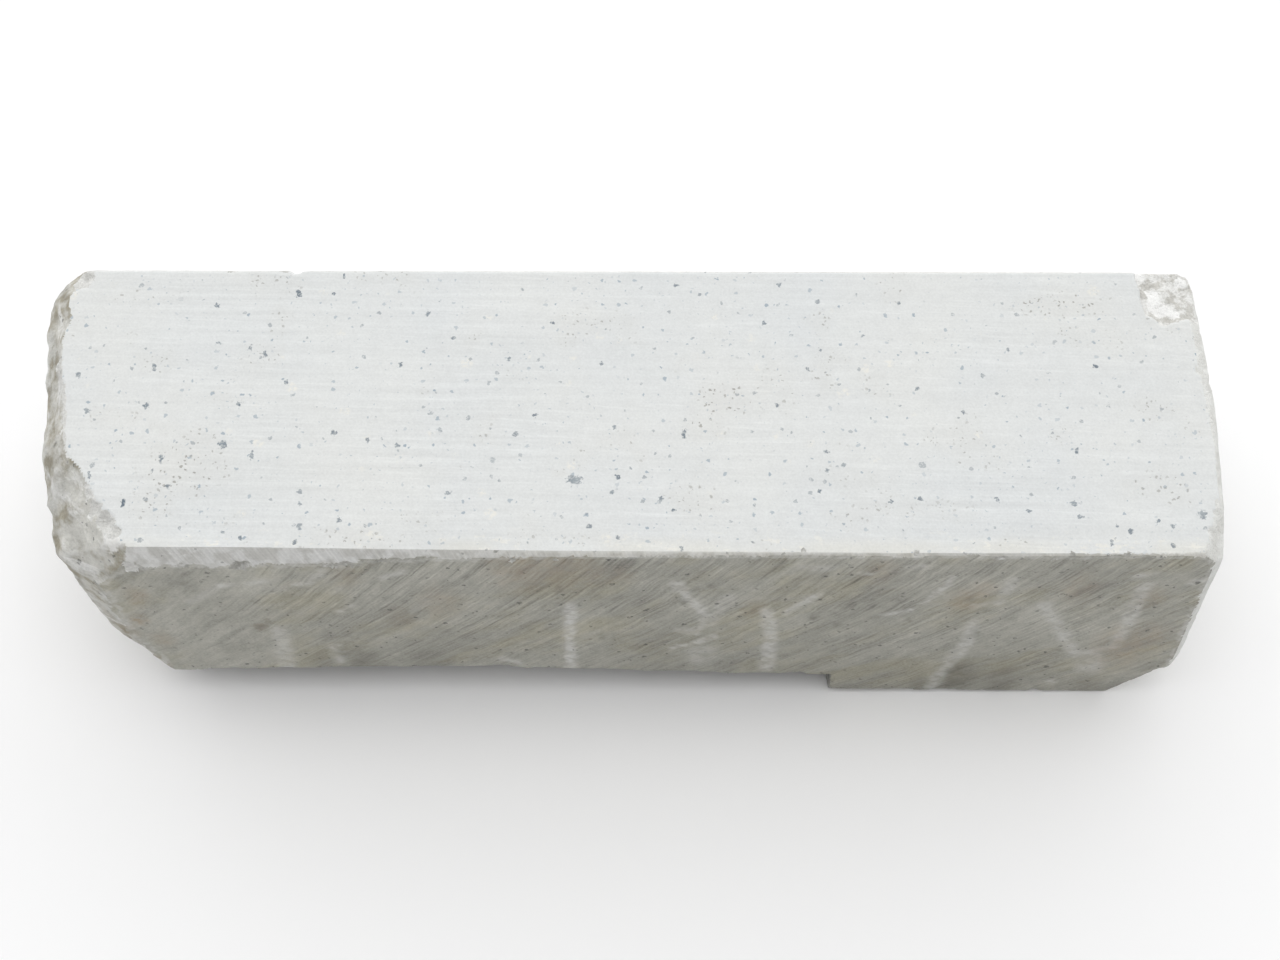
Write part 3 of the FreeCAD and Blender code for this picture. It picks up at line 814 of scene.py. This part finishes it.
# white dabs: (x, y), radii
DABS = [((91.6, 27.4), 1.5, 0.9), ((94.0, 22.6), 1.3, 2.6), ((95.6, 20.2), 2.0, 1.2), ((97.6, 19.6), 1.2, 0.8),
        ((99.4, 26.6), 1.2, 1.0), ((-89.6, -20.4), 0.9, 0.9), ((-84.8, -25.2), 2.2, 1.6), ((-94.0, -9.6), 0.9, 0.7)]
CRUST_A, CRUST_B, WHITE = (0.56, 0.550, 0.515), (0.80, 0.80, 0.78), (0.90, 0.90, 0.885)
END_BEVEL_A, END_BEVEL_B = (0.705, 0.705, 0.675), (0.785, 0.79, 0.765)


class Rock(Tree):
    """The grain, dark crystals and colour drift that run through the whole stone."""

    def __init__(self, name):
        material = bpy.data.materials.new(name)
        super().__init__(material)
        self.material = material
        P = self.P = self.vec("SCALE", self.node("ShaderNodeTexCoord", "Object"), scale=1000.0)
        self.x, self.y, self.z = self.split(P)
        self.fine = self.noise(P, 0.42, 2.0, 0.6)
        self.mid = self.noise(P, 2.6, 3.0, 0.55)
        self.big = self.noise(P, 24.0, 2.0, 0.5)
        wob = self.noise(P, 0.75, 1.0, 0.5, out="Color")
        Q = self.vec("MULTIPLY_ADD", wob, (0.85, 0.85, 0.85))
        self.put(Q.node.inputs[2], P)
        self.Q = Q
        d1, c1 = self.voronoi(Q, 2.35)
        r1, p1, t1 = self.split(c1)
        s1 = self.mul(self.smooth(self.sub(self.mul(d1, 2.35), self.lin(r1, 0.0, 1.0, 0.04, 0.40)), 0.08, -0.04),
                      self.smooth(p1, 0.50, 0.42))
        d2, c2 = self.voronoi(self.vec("ADD", Q, (31.0, 7.0, 13.0)), 5.2)
        r2, p2, t2 = self.split(c2)
        s2 = self.mul(self.smooth(self.sub(self.mul(d2, 5.2), self.lin(r2, 0.0, 1.0, 0.15, 0.62)), 0.10, -0.05),
                      self.smooth(p2, 0.42, 0.36))
        # a crystal is only dark where a coarse speckle allows it, so its outline is angular
        self.bite = self.smooth(self.noise(P, 0.33, 1.0, 0.5), 0.36, 0.50)
        self.dots = self.mul(self.mx(s1, s2), self.lin(self.bite, 0.0, 1.0, 0.35, 1.0))

    def small_grit(self):
        """Many more small dark grains, as the rough sides show."""
        d, c = self.voronoi(self.vec("ADD", self.Q, (5.0, 41.0, 19.0)), 1.7)
        r, p, t = self.split(c)
        spot = self.smooth(self.sub(self.mul(d, 1.7), self.lin(r, 0.0, 1.0, 0.06, 0.34)), 0.10, -0.05)
        self.grit = self.mul(self.mul(spot, self.smooth(p, 0.62, 0.54)), self.lin(t, 0.0, 1.0, 0.35, 1.0))

    def off(self, v, k):
        """v around zero, scaled."""
        return self.mul(self.sub(v, 0.5), k)

    def sum(self, *parts):
        total = parts[0]
        for p in parts[1:]:
            total = self.add(total, p)
        return total

    def finish(self, colour, height, rough):
        bump = self.node("ShaderNodeBump", "Normal", Strength=1.0, Distance=1.0, Height=self.mul(height, 0.001))
        bs = self.t.nodes.new("ShaderNodeBsdfPrincipled")
        self.put(bs.inputs["Base Color"], colour)
        self.put(bs.inputs["Roughness"], rough)
        bs.inputs["Specular IOR Level"].default_value = 0.25
        self.put(bs.inputs["Normal"], bump)
        o = self.t.nodes.new("ShaderNodeOutputMaterial")
        self.t.links.new(bs.outputs[0], o.inputs[0])
        return self.material


def lapped_material():
    """The honing face: ground flat, with lapping streaks, dark crystals and porous buff patches."""
    g = Rock("lapped_face")
    x, y, P, Q = g.x, g.y, g.P, g.Q
    wav = g.noise(g.xyz(g.mul(x, 0.030), g.mul(y, 0.10), 0.0), 1.0, 1.0)
    ly = g.mad(wav, 1.5, g.mad(x, 0.012, y))
    st1 = g.noise(g.xyz(g.mul(x, 0.030), g.mul(ly, 1.35), 0.3), 1.0, 2.0, 0.6)
    st2 = g.noise(g.xyz(g.mul(x, 0.020), g.mul(ly, 0.62), 5.3), 1.0, 2.0, 0.5)
    scr = g.smooth(g.noise(g.xyz(g.mul(x, 0.085), g.mul(g.mad(x, 0.05, ly), 1.6), 9.3), 1.0, 1.0, 0.5), 0.60, 0.70)
    hone = g.mix(g.lin(g.big, 0.3, 0.7, 0.0, 1.0), TOP_A, TOP_B)
    # rubbed towards cream where tools ride over the front edge
    edge = g.mul(g.smooth(g.mad(g.big, 2.0, y), -23.6, -26.6), g.smooth(g.noise(P, 19.0, 1.0), 0.40, 0.56))
    hone = g.mix(g.mul(edge, 0.7), hone, WORN)
    fringe = g.mul(g.smooth(y, -22.5, -27.0), g.smooth(g.noise(g.vec("MULTIPLY", P, (0.6, 1.0, 1.0)), 1.7, 3.0, 0.65), 0.56, 0.66))
    hone = g.mix(g.mul(fringe, 0.62), hone, CREAM)
    where = g.smooth(g.noise(P, 36.0, 1.0), 0.36, 0.60, 0.45, 1.25)
    tone = g.sum(g.mul(g.off(st1, 0.17), where), g.off(st2, 0.085), g.off(g.fine, 0.20), g.off(g.mid, 0.10), g.mul(scr, 0.035))
    hone = g.tint(hone, g.add(tone, 1.0))
    # porous buff patches
    patch = None
    Pw = g.vec("MULTIPLY_ADD", g.noise(P, 4.0, 2.0, 0.6, out="Color"), (5.0, 5.0, 5.0))
    g.put(Pw.node.inputs[2], g.vec("ADD", P, (-2.5, -2.5, -2.5)))
    for (cx, cy), rx, ry, k in BUFF:
        v = g.vec("MULTIPLY_ADD", Pw, (1 / rx, 1 / ry, 0.0))
        v.node.inputs[2].default_value = (-cx / rx, -cy / ry, 0.0)
        q = g.mul(g.smooth(g.vec("LENGTH", v, out=1), 1.15, 0.25), k)
        patch = q if patch is None else g.mx(patch, q)
    scatter = g.mul(g.smooth(g.noise(P, 11.0, 2.0, 0.5), 0.54, 0.68), 0.5)
    patch = g.mx(patch, scatter)
    d4, c4 = g.voronoi(g.vec("ADD", Q, (3.0, 9.0, 1.0)), 0.85)
    r4, p4, t4 = g.split(c4)
    pits = g.mul(g.smooth(g.sub(g.mul(d4, 0.85), g.lin(r4, 0.0, 1.0, 0.02, 0.26)), 0.08, -0.04), g.smooth(p4, 0.90, 0.70))
    pores = g.mul(g.smooth(patch, 0.05, 0.7), pits)
    hone = g.mix(g.mul(patch, 0.20), hone, BUFF_COLOUR)
    hone = g.mix(g.mul(pores, 0.70), hone, PORE_COLOUR)
    # faint bluish crystals just under the surface
    d5, c5 = g.voronoi(Q, 2.6, "2D")
    r5, p5, t5 = g.split(c5)
    speck = g.mad(g.off(g.noise(P, 0.5, 1.0), 1.0), 0.45, g.sub(g.mul(d5, 2.6), g.lin(g.mul(r5, r5), 0.0, 1.0, 0.07, 0.34)))
    faint = g.mul(g.smooth(speck, 0.10, -0.06), g.smooth(p5, 0.50, 0.42))
    faint = g.mul(faint, g.lin(t5, 0.0, 1.0, 0.25, 0.90))
    d6, c6 = g.voronoi(g.vec("ADD", Q, (13.0, 29.0, 0.0)), 1.3, "2D")
    r6, p6, t6 = g.split(c6)
    tiny = g.mul(g.smooth(g.sub(g.mul(d6, 1.3), g.lin(r6, 0.0, 1.0, 0.03, 0.15)), 0.08, -0.04), g.smooth(p6, 0.42, 0.34))
    tiny = g.mul(g.mul(tiny, g.lin(t6, 0.0, 1.0, 0.15, 0.62)), g.smooth(g.noise(P, 9.0, 2.0), 0.42, 0.58, 0.15, 1.0))
    faint = g.mx(faint, tiny)
    hone = g.mix(faint, hone, FAINT)
    # cream grains
    d3, c3 = g.voronoi(g.vec("ADD", Q, (11.0, 57.0, 3.0)), 5.0)
    r3, p3, t3 = g.split(c3)
    cream = g.mul(g.smooth(g.sub(g.mul(d3, 5.0), g.lin(r3, 0.0, 1.0, 0.2, 1.0)), 0.5, -0.3), g.smooth(p3, 0.55, 0.45))
    fleck = g.smooth(g.noise(P, 0.8, 3.0, 0.7), 0.42, 0.60)
    hone = g.mix(g.mul(g.mul(cream, fleck), 0.75), hone, CREAM)
    # the larger crystals, each in its place
    near = None
    for cx, cy, hx, hy in GRAINS:
        kx, ky = 1 / (hx + 0.04), 1 / (hy + 0.04)
        v = g.vec("MULTIPLY_ADD", Q, (kx, ky, 0.0))
        v.node.inputs[2].default_value = (-(cx + 0.42) * kx, -(cy + 0.42) * ky, 0.0)
        q = g.vec("LENGTH", v, out=1)
        near = q if near is None else g.mn(near, q)
    rag = g.noise(g.vec("ADD", P, (0.0, 17.0, 0.0)), 0.55, 2.0, 0.6)
    near = g.add(near, g.off(rag, 2.6))
    placed = g.mul(g.smooth(near, 1.12, 0.62), g.lin(g.bite, 0.0, 1.0, 0.55, 1.0))
    spots = g.mx(g.mul(g.dots, 0.60), placed)
    spot_colour = g.mix(g.smooth(g.noise(P, 3.0, 1.0), 0.42, 0.60), SPOT_A, SPOT_B)
    hone = g.mix(g.mul(spots, g.lin(g.noise(P, 6.0, 1.0), 0.3, 0.7, 0.62, 0.92)), hone, spot_colour)
    height = g.sum(g.mul(st1, 0.012), g.mul(pores, -0.06), g.mul(g.fine, 0.010))
    return g.finish(hone, height, g.sum(g.mul(st1, 0.10), g.mul(pores, 0.2), 0.66))


def sawn_material():
    """The sides as the saw left them, with slanting marks, scuffs and stains, and the sawn end."""
    g = Rock("sawn_side")
    kind = g.attr("kind")
    end = g.is_kind(kind, "end")
    g.small_grit()
    x, y, z, P = g.x, g.y, g.z, g.P
    t = g.sub(TOP_Z, z)
    s = g.sum(x, g.mul(t, 0.55), g.mul(g.mul(t, t), 0.0055))
    s = g.mad(g.noise(P, 7.0, 2.0, 0.5), 1.2, s)
    m1 = g.noise(g.xyz(g.mul(s, 0.56), g.mul(t, 0.050), 1.7), 1.0, 1.0, 0.5)
    m2 = g.noise(g.xyz(g.mul(s, 1.15), g.mul(t, 0.080), 4.1), 1.0, 2.0, 0.55)
    m5 = g.noise(g.xyz(g.mul(s, 2.3), g.mul(t, 0.20), 9.4), 1.0, 1.0, 0.6)
    m3 = g.noise(g.xyz(g.mul(s, 0.13), g.mul(t, 0.045), 6.1), 1.0, 2.0, 0.5)
    break_up = g.smooth(g.noise(g.vec("ADD", P, (7.0, 3.0, 70.0)), 6.0, 2.0, 0.6), 0.34, 0.56, 0.50, 1.0)
    # plainer towards the foot
    break_up = g.mul(break_up, g.smooth(g.mad(g.big, 14.0, t), 20.0, 52.0, 1.0, 0.62))
    left = g.smooth(g.mad(g.big, 18.0, x), -66.0, -38.0, 0.45, 1.0)
    strong = g.mul(g.mx(left, g.smooth(y, 0.0, 10.0, 0.0, 1.0)), break_up)
    marks = g.mul(g.sum(g.off(m1, 0.55), g.off(m2, 1.0), g.off(m5, 0.65)), strong)
    marks = g.sum(marks, g.off(m3, 0.5))
    lines = g.mul(g.smooth(m2, 0.39, 0.31), strong)
    side = g.mix(g.lin(g.big, 0.34, 0.66, 0.0, 1.0), SAW_A, SAW_B)
    olive = g.smooth(g.noise(g.xyz(g.mul(s, 0.060), g.mul(t, 0.050), 8.0), 1.0, 4.0, 0.62), 0.46, 0.66)
    side = g.mix(g.mul(olive, 0.62), side, SAW_C)
    grime_and_painted_shade = g.smooth(g.noise(g.xyz(g.mul(s, 0.16), g.mul(t, 0.10), 21.0), 1.0, 4.0, 0.65), 0.50, 0.66)
    foot = g.smooth(z, 16.0, 2.0, 0.0, -0.05)
    tone = g.sum(g.mul(marks, 0.80), g.off(g.fine, 0.50), g.off(g.mid, 0.40), g.mul(lines, -0.10), g.mul(grime_and_painted_shade, -0.12), foot)
    side = g.tint(side, g.add(tone, 1.0))
    rung = g.smooth(g.noise(g.xyz(g.mul(x, 0.34), g.mad(x, 0.16, g.mul(z, 0.62)), 3.0), 1.0, 2.0, 0.6), 0.40, 0.58)
    rub = g.mul(g.attr("scuff"), g.lin(rung, 0.0, 1.0, 0.42, 0.92))
    side = g.mix(g.mul(rub, 0.88), side, SCUFF)
    side = g.mix(g.mul(g.attr("rust"), g.lin(g.mid, 0.3, 0.65, 0.15, 0.8)), side, RUST)
    side = g.mix(g.mul(g.attr("dark"), g.lin(g.mid, 0.3, 0.65, 0.3, 0.9)), side, SOOT)
    side = g.mix(g.mul(g.mx(g.dots, g.grit), 0.66), side, SIDE_SPOT)
    # the end: paler, with its own marks
    s4 = g.add(g.mul(y, 0.8), g.mul(z, 0.6))
    m4 = g.noise(g.xyz(g.mul(s4, 0.9), g.mul(g.sub(y, z), 0.06), 2.0), 1.0, 2.0, 0.6)
    butt = g.tint(g.mix(g.big, SAW_A, END_A), g.sum(g.off(m4, 0.45), g.off(g.mid, 0.3), g.off(g.fine, 0.25), 1.0))
    butt = g.mix(g.mul(g.dots, 0.6), butt, SIDE_SPOT)
    col = g.mix(end, side, butt)
    bruise = g.smooth(g.mad(g.sub(g.noise(P, 1.8, 3.0, 0.6), 0.5), 1.6, g.attr("rimnear")), 0.60, 1.10)
    col = g.mix(g.mul(bruise, 0.45), col, CHALK_B)
    h_side = g.sum(g.mul(marks, 0.15), g.mul(g.mid, 0.16), g.mul(g.fine, 0.08))
    h_end = g.sum(g.mul(m4, 0.10), g.mul(g.mid, 0.12), g.mul(g.fine, 0.06))
    return g.finish(col, g.fmix(end, h_side, h_end), 0.86)


def broken_material():
    """Broken, bruised and filed places."""
    g = Rock("broken_stone")
    kind = g.attr("kind")
    bev = g.is_kind(kind, "bev")
    rim = g.mx(g.is_kind(kind, "rim"), g.is_kind(kind, "chip"))
    crumb = g.is_kind(kind, "crumb")
    g.small_grit()
    x, y, z, P = g.x, g.y, g.z, g.P
    t = g.sub(TOP_Z, z)
    bed = g.noise(g.xyz(g.mul(x, 0.12), g.mul(y, 0.10), g.mad(g.big, 2.0, g.mul(z, 0.38))), 1.0, 4.0, 0.62)
    mot = g.noise(g.vec("ADD", P, (40.0, 0.0, 0.0)), 6.5, 4.0, 0.62)
    rock = g.mix(g.smooth(g.mad(g.mid, 0.35, mot), 0.56, 0.76), BRK_A, BRK_B)
    rock = g.mix(g.mul(g.smooth(bed, 0.50, 0.66), 0.80), rock, BRK_C)
    vein = g.noise(g.xyz(g.mad(y, 0.10, g.mul(x, 0.30)), g.mul(y, 0.07), g.mad(g.mid, 0.5, g.mul(z, 0.05))), 1.0, 3.0, 0.6)
    rock = g.tint(rock, g.sum(g.off(g.fine, 0.42), g.off(g.mid, 0.45), g.off(vein, 0.75), 1.0))
    # under the sawn end the break is more even
    even = g.tint(BRK_B, g.sum(g.off(g.fine, 0.42), g.off(g.mid, 0.45), 0.95))
    rock = g.mix(g.smooth(x, 70.0, 90.0, 0.0, 0.68), rock, even)
    rock = g.mix(g.mul(g.mx(g.dots, g.grit), 0.6), rock, SIDE_SPOT)
    rock = g.mix(g.mul(g.attr("rust"), g.lin(g.mid, 0.3, 0.65, 0.3, 0.95)), rock, RUST)
    rock = g.mix(g.mul(g.attr("dark"), g.lin(g.mid, 0.3, 0.65, 0.3, 0.9)), rock, SOOT)
    f1 = g.noise(g.xyz(g.mul(g.sub(x, g.mul(t, 0.55)), 1.7), g.mul(t, 0.10), 3.0), 1.0, 2.0, 0.6)
    filed = g.tint(g.mix(g.smooth(g.mid, 0.38, 0.60), BEV_A, BEV_B), g.sum(g.off(f1, 0.50), g.off(g.fine, 0.25), 1.0))
    filed = g.mix(g.smooth(x, -45.0, 5.0, 0.0, 0.75), filed, g.vec("MULTIPLY", filed, (0.93, 0.915, 0.86)))
    filed = g.mix(g.mul(g.dots, 0.6), filed, SIDE_SPOT)
    chalk = g.mix(g.smooth(g.noise(P, 1.9, 3.0, 0.65), 0.46, 0.68), CHALK_A, CHALK_B)
    # crumbled white stone along the broken edge of the face
    chalk = g.mix(g.smooth(x, -78.0, -82.0, 0.0, 0.62), chalk, CRUST_B)
    chalk = g.tint(chalk, g.add(1.0, g.off(g.fine, 0.5)))
    chalk = g.mix(g.mul(g.grit, 0.5), chalk, PORE_COLOUR)
    # the sawn end's bevel is clean and pale
    clean = g.tint(g.mix(g.smooth(g.mid, 0.40, 0.62), END_BEVEL_A, END_BEVEL_B), g.sum(g.off(f1, 0.10), g.off(g.fine, 0.16), 1.0))
    chalk = g.mix(g.smooth(x, 86.0, 90.0), chalk, clean)
    crust = g.mix(g.smooth(g.noise(g.vec("ADD", P, (0.0, 0.0, 50.0)), 2.2, 4.0, 0.7), 0.40, 0.60), CRUST_A, CRUST_B)
    crust = g.tint(crust, g.add(1.0, g.off(g.fine, 0.40)))
    crust = g.mix(g.mul(g.mx(g.dots, g.grit), 0.55), crust, PORE_COLOUR)
    # dabs of bruised white stone
    dab = None
    Pd = g.vec("MULTIPLY_ADD", g.noise(P, 1.6, 2.0, 0.6, out="Color"), (2.6, 2.6, 2.6))
    g.put(Pd.node.inputs[2], g.vec("ADD", P, (-1.3, -1.3, -1.3)))
    for (cx, cy), rx, ry in DABS:
        v = g.vec("MULTIPLY_ADD", Pd, (1 / rx, 1 / ry, 0.0))
        v.node.inputs[2].default_value = (-cx / rx, -cy / ry, 0.0)
        q = g.vec("LENGTH", v, out=1)
        dab = q if dab is None else g.mn(dab, q)
    dab = g.mul(g.smooth(dab, 1.2, 0.8), g.smooth(z, TOP_Z - 5.0, TOP_Z - 3.0))
    crust = g.mix(dab, crust, g.tint(WHITE, g.add(1.0, g.off(g.fine, 0.2))))
    rock = g.mix(g.mul(dab, 0.8), rock, WHITE)
    col = g.mix(bev, rock, filed)
    # painted shade: the underside of the lost flake is painted dark, and the stone's underside somewhat darker, so
    # that less light bounces onto the floor beneath the flake
    grime_and_painted_shade = g.mx(g.is_kind(kind, "flake"), g.mul(g.is_kind(kind, "low"), 0.4))
    col = g.mix(g.mul(grime_and_painted_shade, 0.75), col, g.tint(col, 0.34))
    # bruised white stone along every edge, in an uneven line
    bruise = g.smooth(g.mad(g.sub(g.noise(P, 1.8, 3.0, 0.6), 0.5), 1.6, g.attr("rimnear")), 0.60, 1.10)
    col = g.mix(g.mul(bruise, 0.55), col, CHALK_B)
    col = g.mix(rim, col, chalk)
    col = g.mix(crumb, col, crust)
    h_rock = g.sum(g.mul(g.mid, 0.45), g.mul(g.fine, 0.14), g.mul(bed, 0.5))
    h_bev = g.sum(g.mul(f1, 0.07), g.mul(g.fine, 0.03))
    h_crumb = g.sum(g.mul(g.noise(P, 0.9, 3.0, 0.7), 0.5), g.mul(g.fine, 0.12))
    height = g.fmix(g.mx(rim, crumb), g.fmix(bev, h_rock, h_bev), h_crumb)
    return g.finish(col, height, 0.86)


# ------------------------------------------------------------------ put it together
mesh, PLANES = make_mesh()
paint_mesh(mesh, PLANES)
mesh.name = "whetstone"
stone = bpy.data.objects.new("whetstone", mesh)
bpy.context.scene.collection.objects.link(stone)
mesh.materials.clear()
for build in (lapped_material, sawn_material, broken_material):
    mesh.materials.append(build())
which = {"lap": 0, "saw": 1, "end": 1}
faces = np.empty(len(mesh.polygons), np.float32)
mesh.attributes["kind"].data.foreach_get("value", faces)
table = np.array([which.get(k, 2) for k in KINDS], np.int32)
mesh.polygons.foreach_set("material_index", table[np.clip(faces + 0.5, 0, len(KINDS) - 1).astype(int)])
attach(stone, "root")
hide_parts("stone_block")

# ------------------------------------------------------------------ floor, light, camera
def studio_world(world, base, tilt, strip, high, front_cut, lean):
    """Soft studio surroundings: brighter behind the object than in front of it."""
    world.use_nodes = True
    g = Tree(world)
    d = g.vec("NORMALIZE", g.node("ShaderNodeTexCoord", "Generated"))
    dx, dy, dz = g.split(d)
    light = g.mad(dy, tilt, base)
    # a bright backdrop, low behind
    low = g.mul(g.smooth(dy, 0.45, 0.95), g.smooth(dz, 0.50, 0.10))
    light = g.mad(low, strip, light)
    # an overhead diffuser
    over = g.add(g.mul(dz, math.cos(lean)), g.mul(dy, math.sin(lean)))
    light = g.mad(g.smooth(over, 0.86, 0.97), high, light)
    light = g.mx(light, front_cut)
    back = g.t.nodes.new("ShaderNodeBackground")
    back.inputs["Color"].default_value = (1.0, 1.0, 1.0, 1.0)
    g.put(back.inputs["Strength"], light)
    plain = g.t.nodes.new("ShaderNodeBackground")
    plain.inputs["Color"].default_value = (0.97, 0.97, 0.975, 1.0)
    ray = g.t.nodes.new("ShaderNodeLightPath")
    pick = g.t.nodes.new("ShaderNodeMixShader")
    out = g.t.nodes.new("ShaderNodeOutputWorld")
    g.t.links.new(ray.outputs["Is Camera Ray"], pick.inputs[0])
    g.t.links.new(back.outputs[0], pick.inputs[1])
    g.t.links.new(plain.outputs[0], pick.inputs[2])
    g.t.links.new(pick.outputs[0], out.inputs[0])


floor_mesh = bpy.data.meshes.new("floor")
R = 6.0
floor_mesh.from_pydata([(-R, -R, 0), (R, -R, 0), (R, R, 0), (-R, R, 0)], [], [(0, 1, 2, 3)])
floor = bpy.data.objects.new("floor", floor_mesh)
floor.location.z = -0.00008
bpy.context.scene.collection.objects.link(floor)
fm = bpy.data.materials.new("pale_floor")
fg = Tree(fm)
fb = fg.t.nodes.new("ShaderNodeBsdfPrincipled")
fp = fg.node("ShaderNodeTexCoord", "Object")
fg.put(fb.inputs["Base Color"], fg.mix(fg.noise(fp, 0.35, 2.0), (0.945, 0.945, 0.950), (0.958, 0.958, 0.960)))
fb.inputs["Roughness"].default_value = 0.95
fb.inputs["Specular IOR Level"].default_value = 0.0
fo = fg.t.nodes.new("ShaderNodeOutputMaterial")
fg.t.links.new(fb.outputs[0], fo.inputs[0])
floor_mesh.materials.append(fm)

world = bpy.data.worlds.new("studio")
bpy.context.scene.world = world
studio_world(world, 0.74, 0.61, 0.50, 2.00, 0.08, -0.13)

# the camera looks down at the front at 61.5 degrees, almost level
ELEVATION, ROLL = math.radians(61.5), 0.0022
ce, se = math.cos(ELEVATION), math.sin(ELEVATION)
ahead, up, right = Vector((0, ce, -se)), Vector((0, se, ce)), Vector((1, 0, 0))
right2 = right * math.cos(ROLL) + up * math.sin(ROLL)
up2 = up * math.cos(ROLL) - right * math.sin(ROLL)
cam_data = bpy.data.cameras.new("camera")
cam_data.sensor_width = 36.0
cam_data.lens = 67.5
cam_data.clip_start, cam_data.clip_end = 0.01, 30.0
cam = bpy.data.objects.new("camera", cam_data)
turn = Matrix((right2, up2, -ahead)).transposed().to_4x4()
cam.matrix_world = Matrix.Translation((0.00320, -0.20857, 0.41470)) @ turn
bpy.context.scene.collection.objects.link(cam)
bpy.context.scene.camera = cam
bpy.context.scene.view_settings.view_transform = "Standard"
bpy.context.scene.view_settings.look = "None"

bpy.context.view_layer.update()
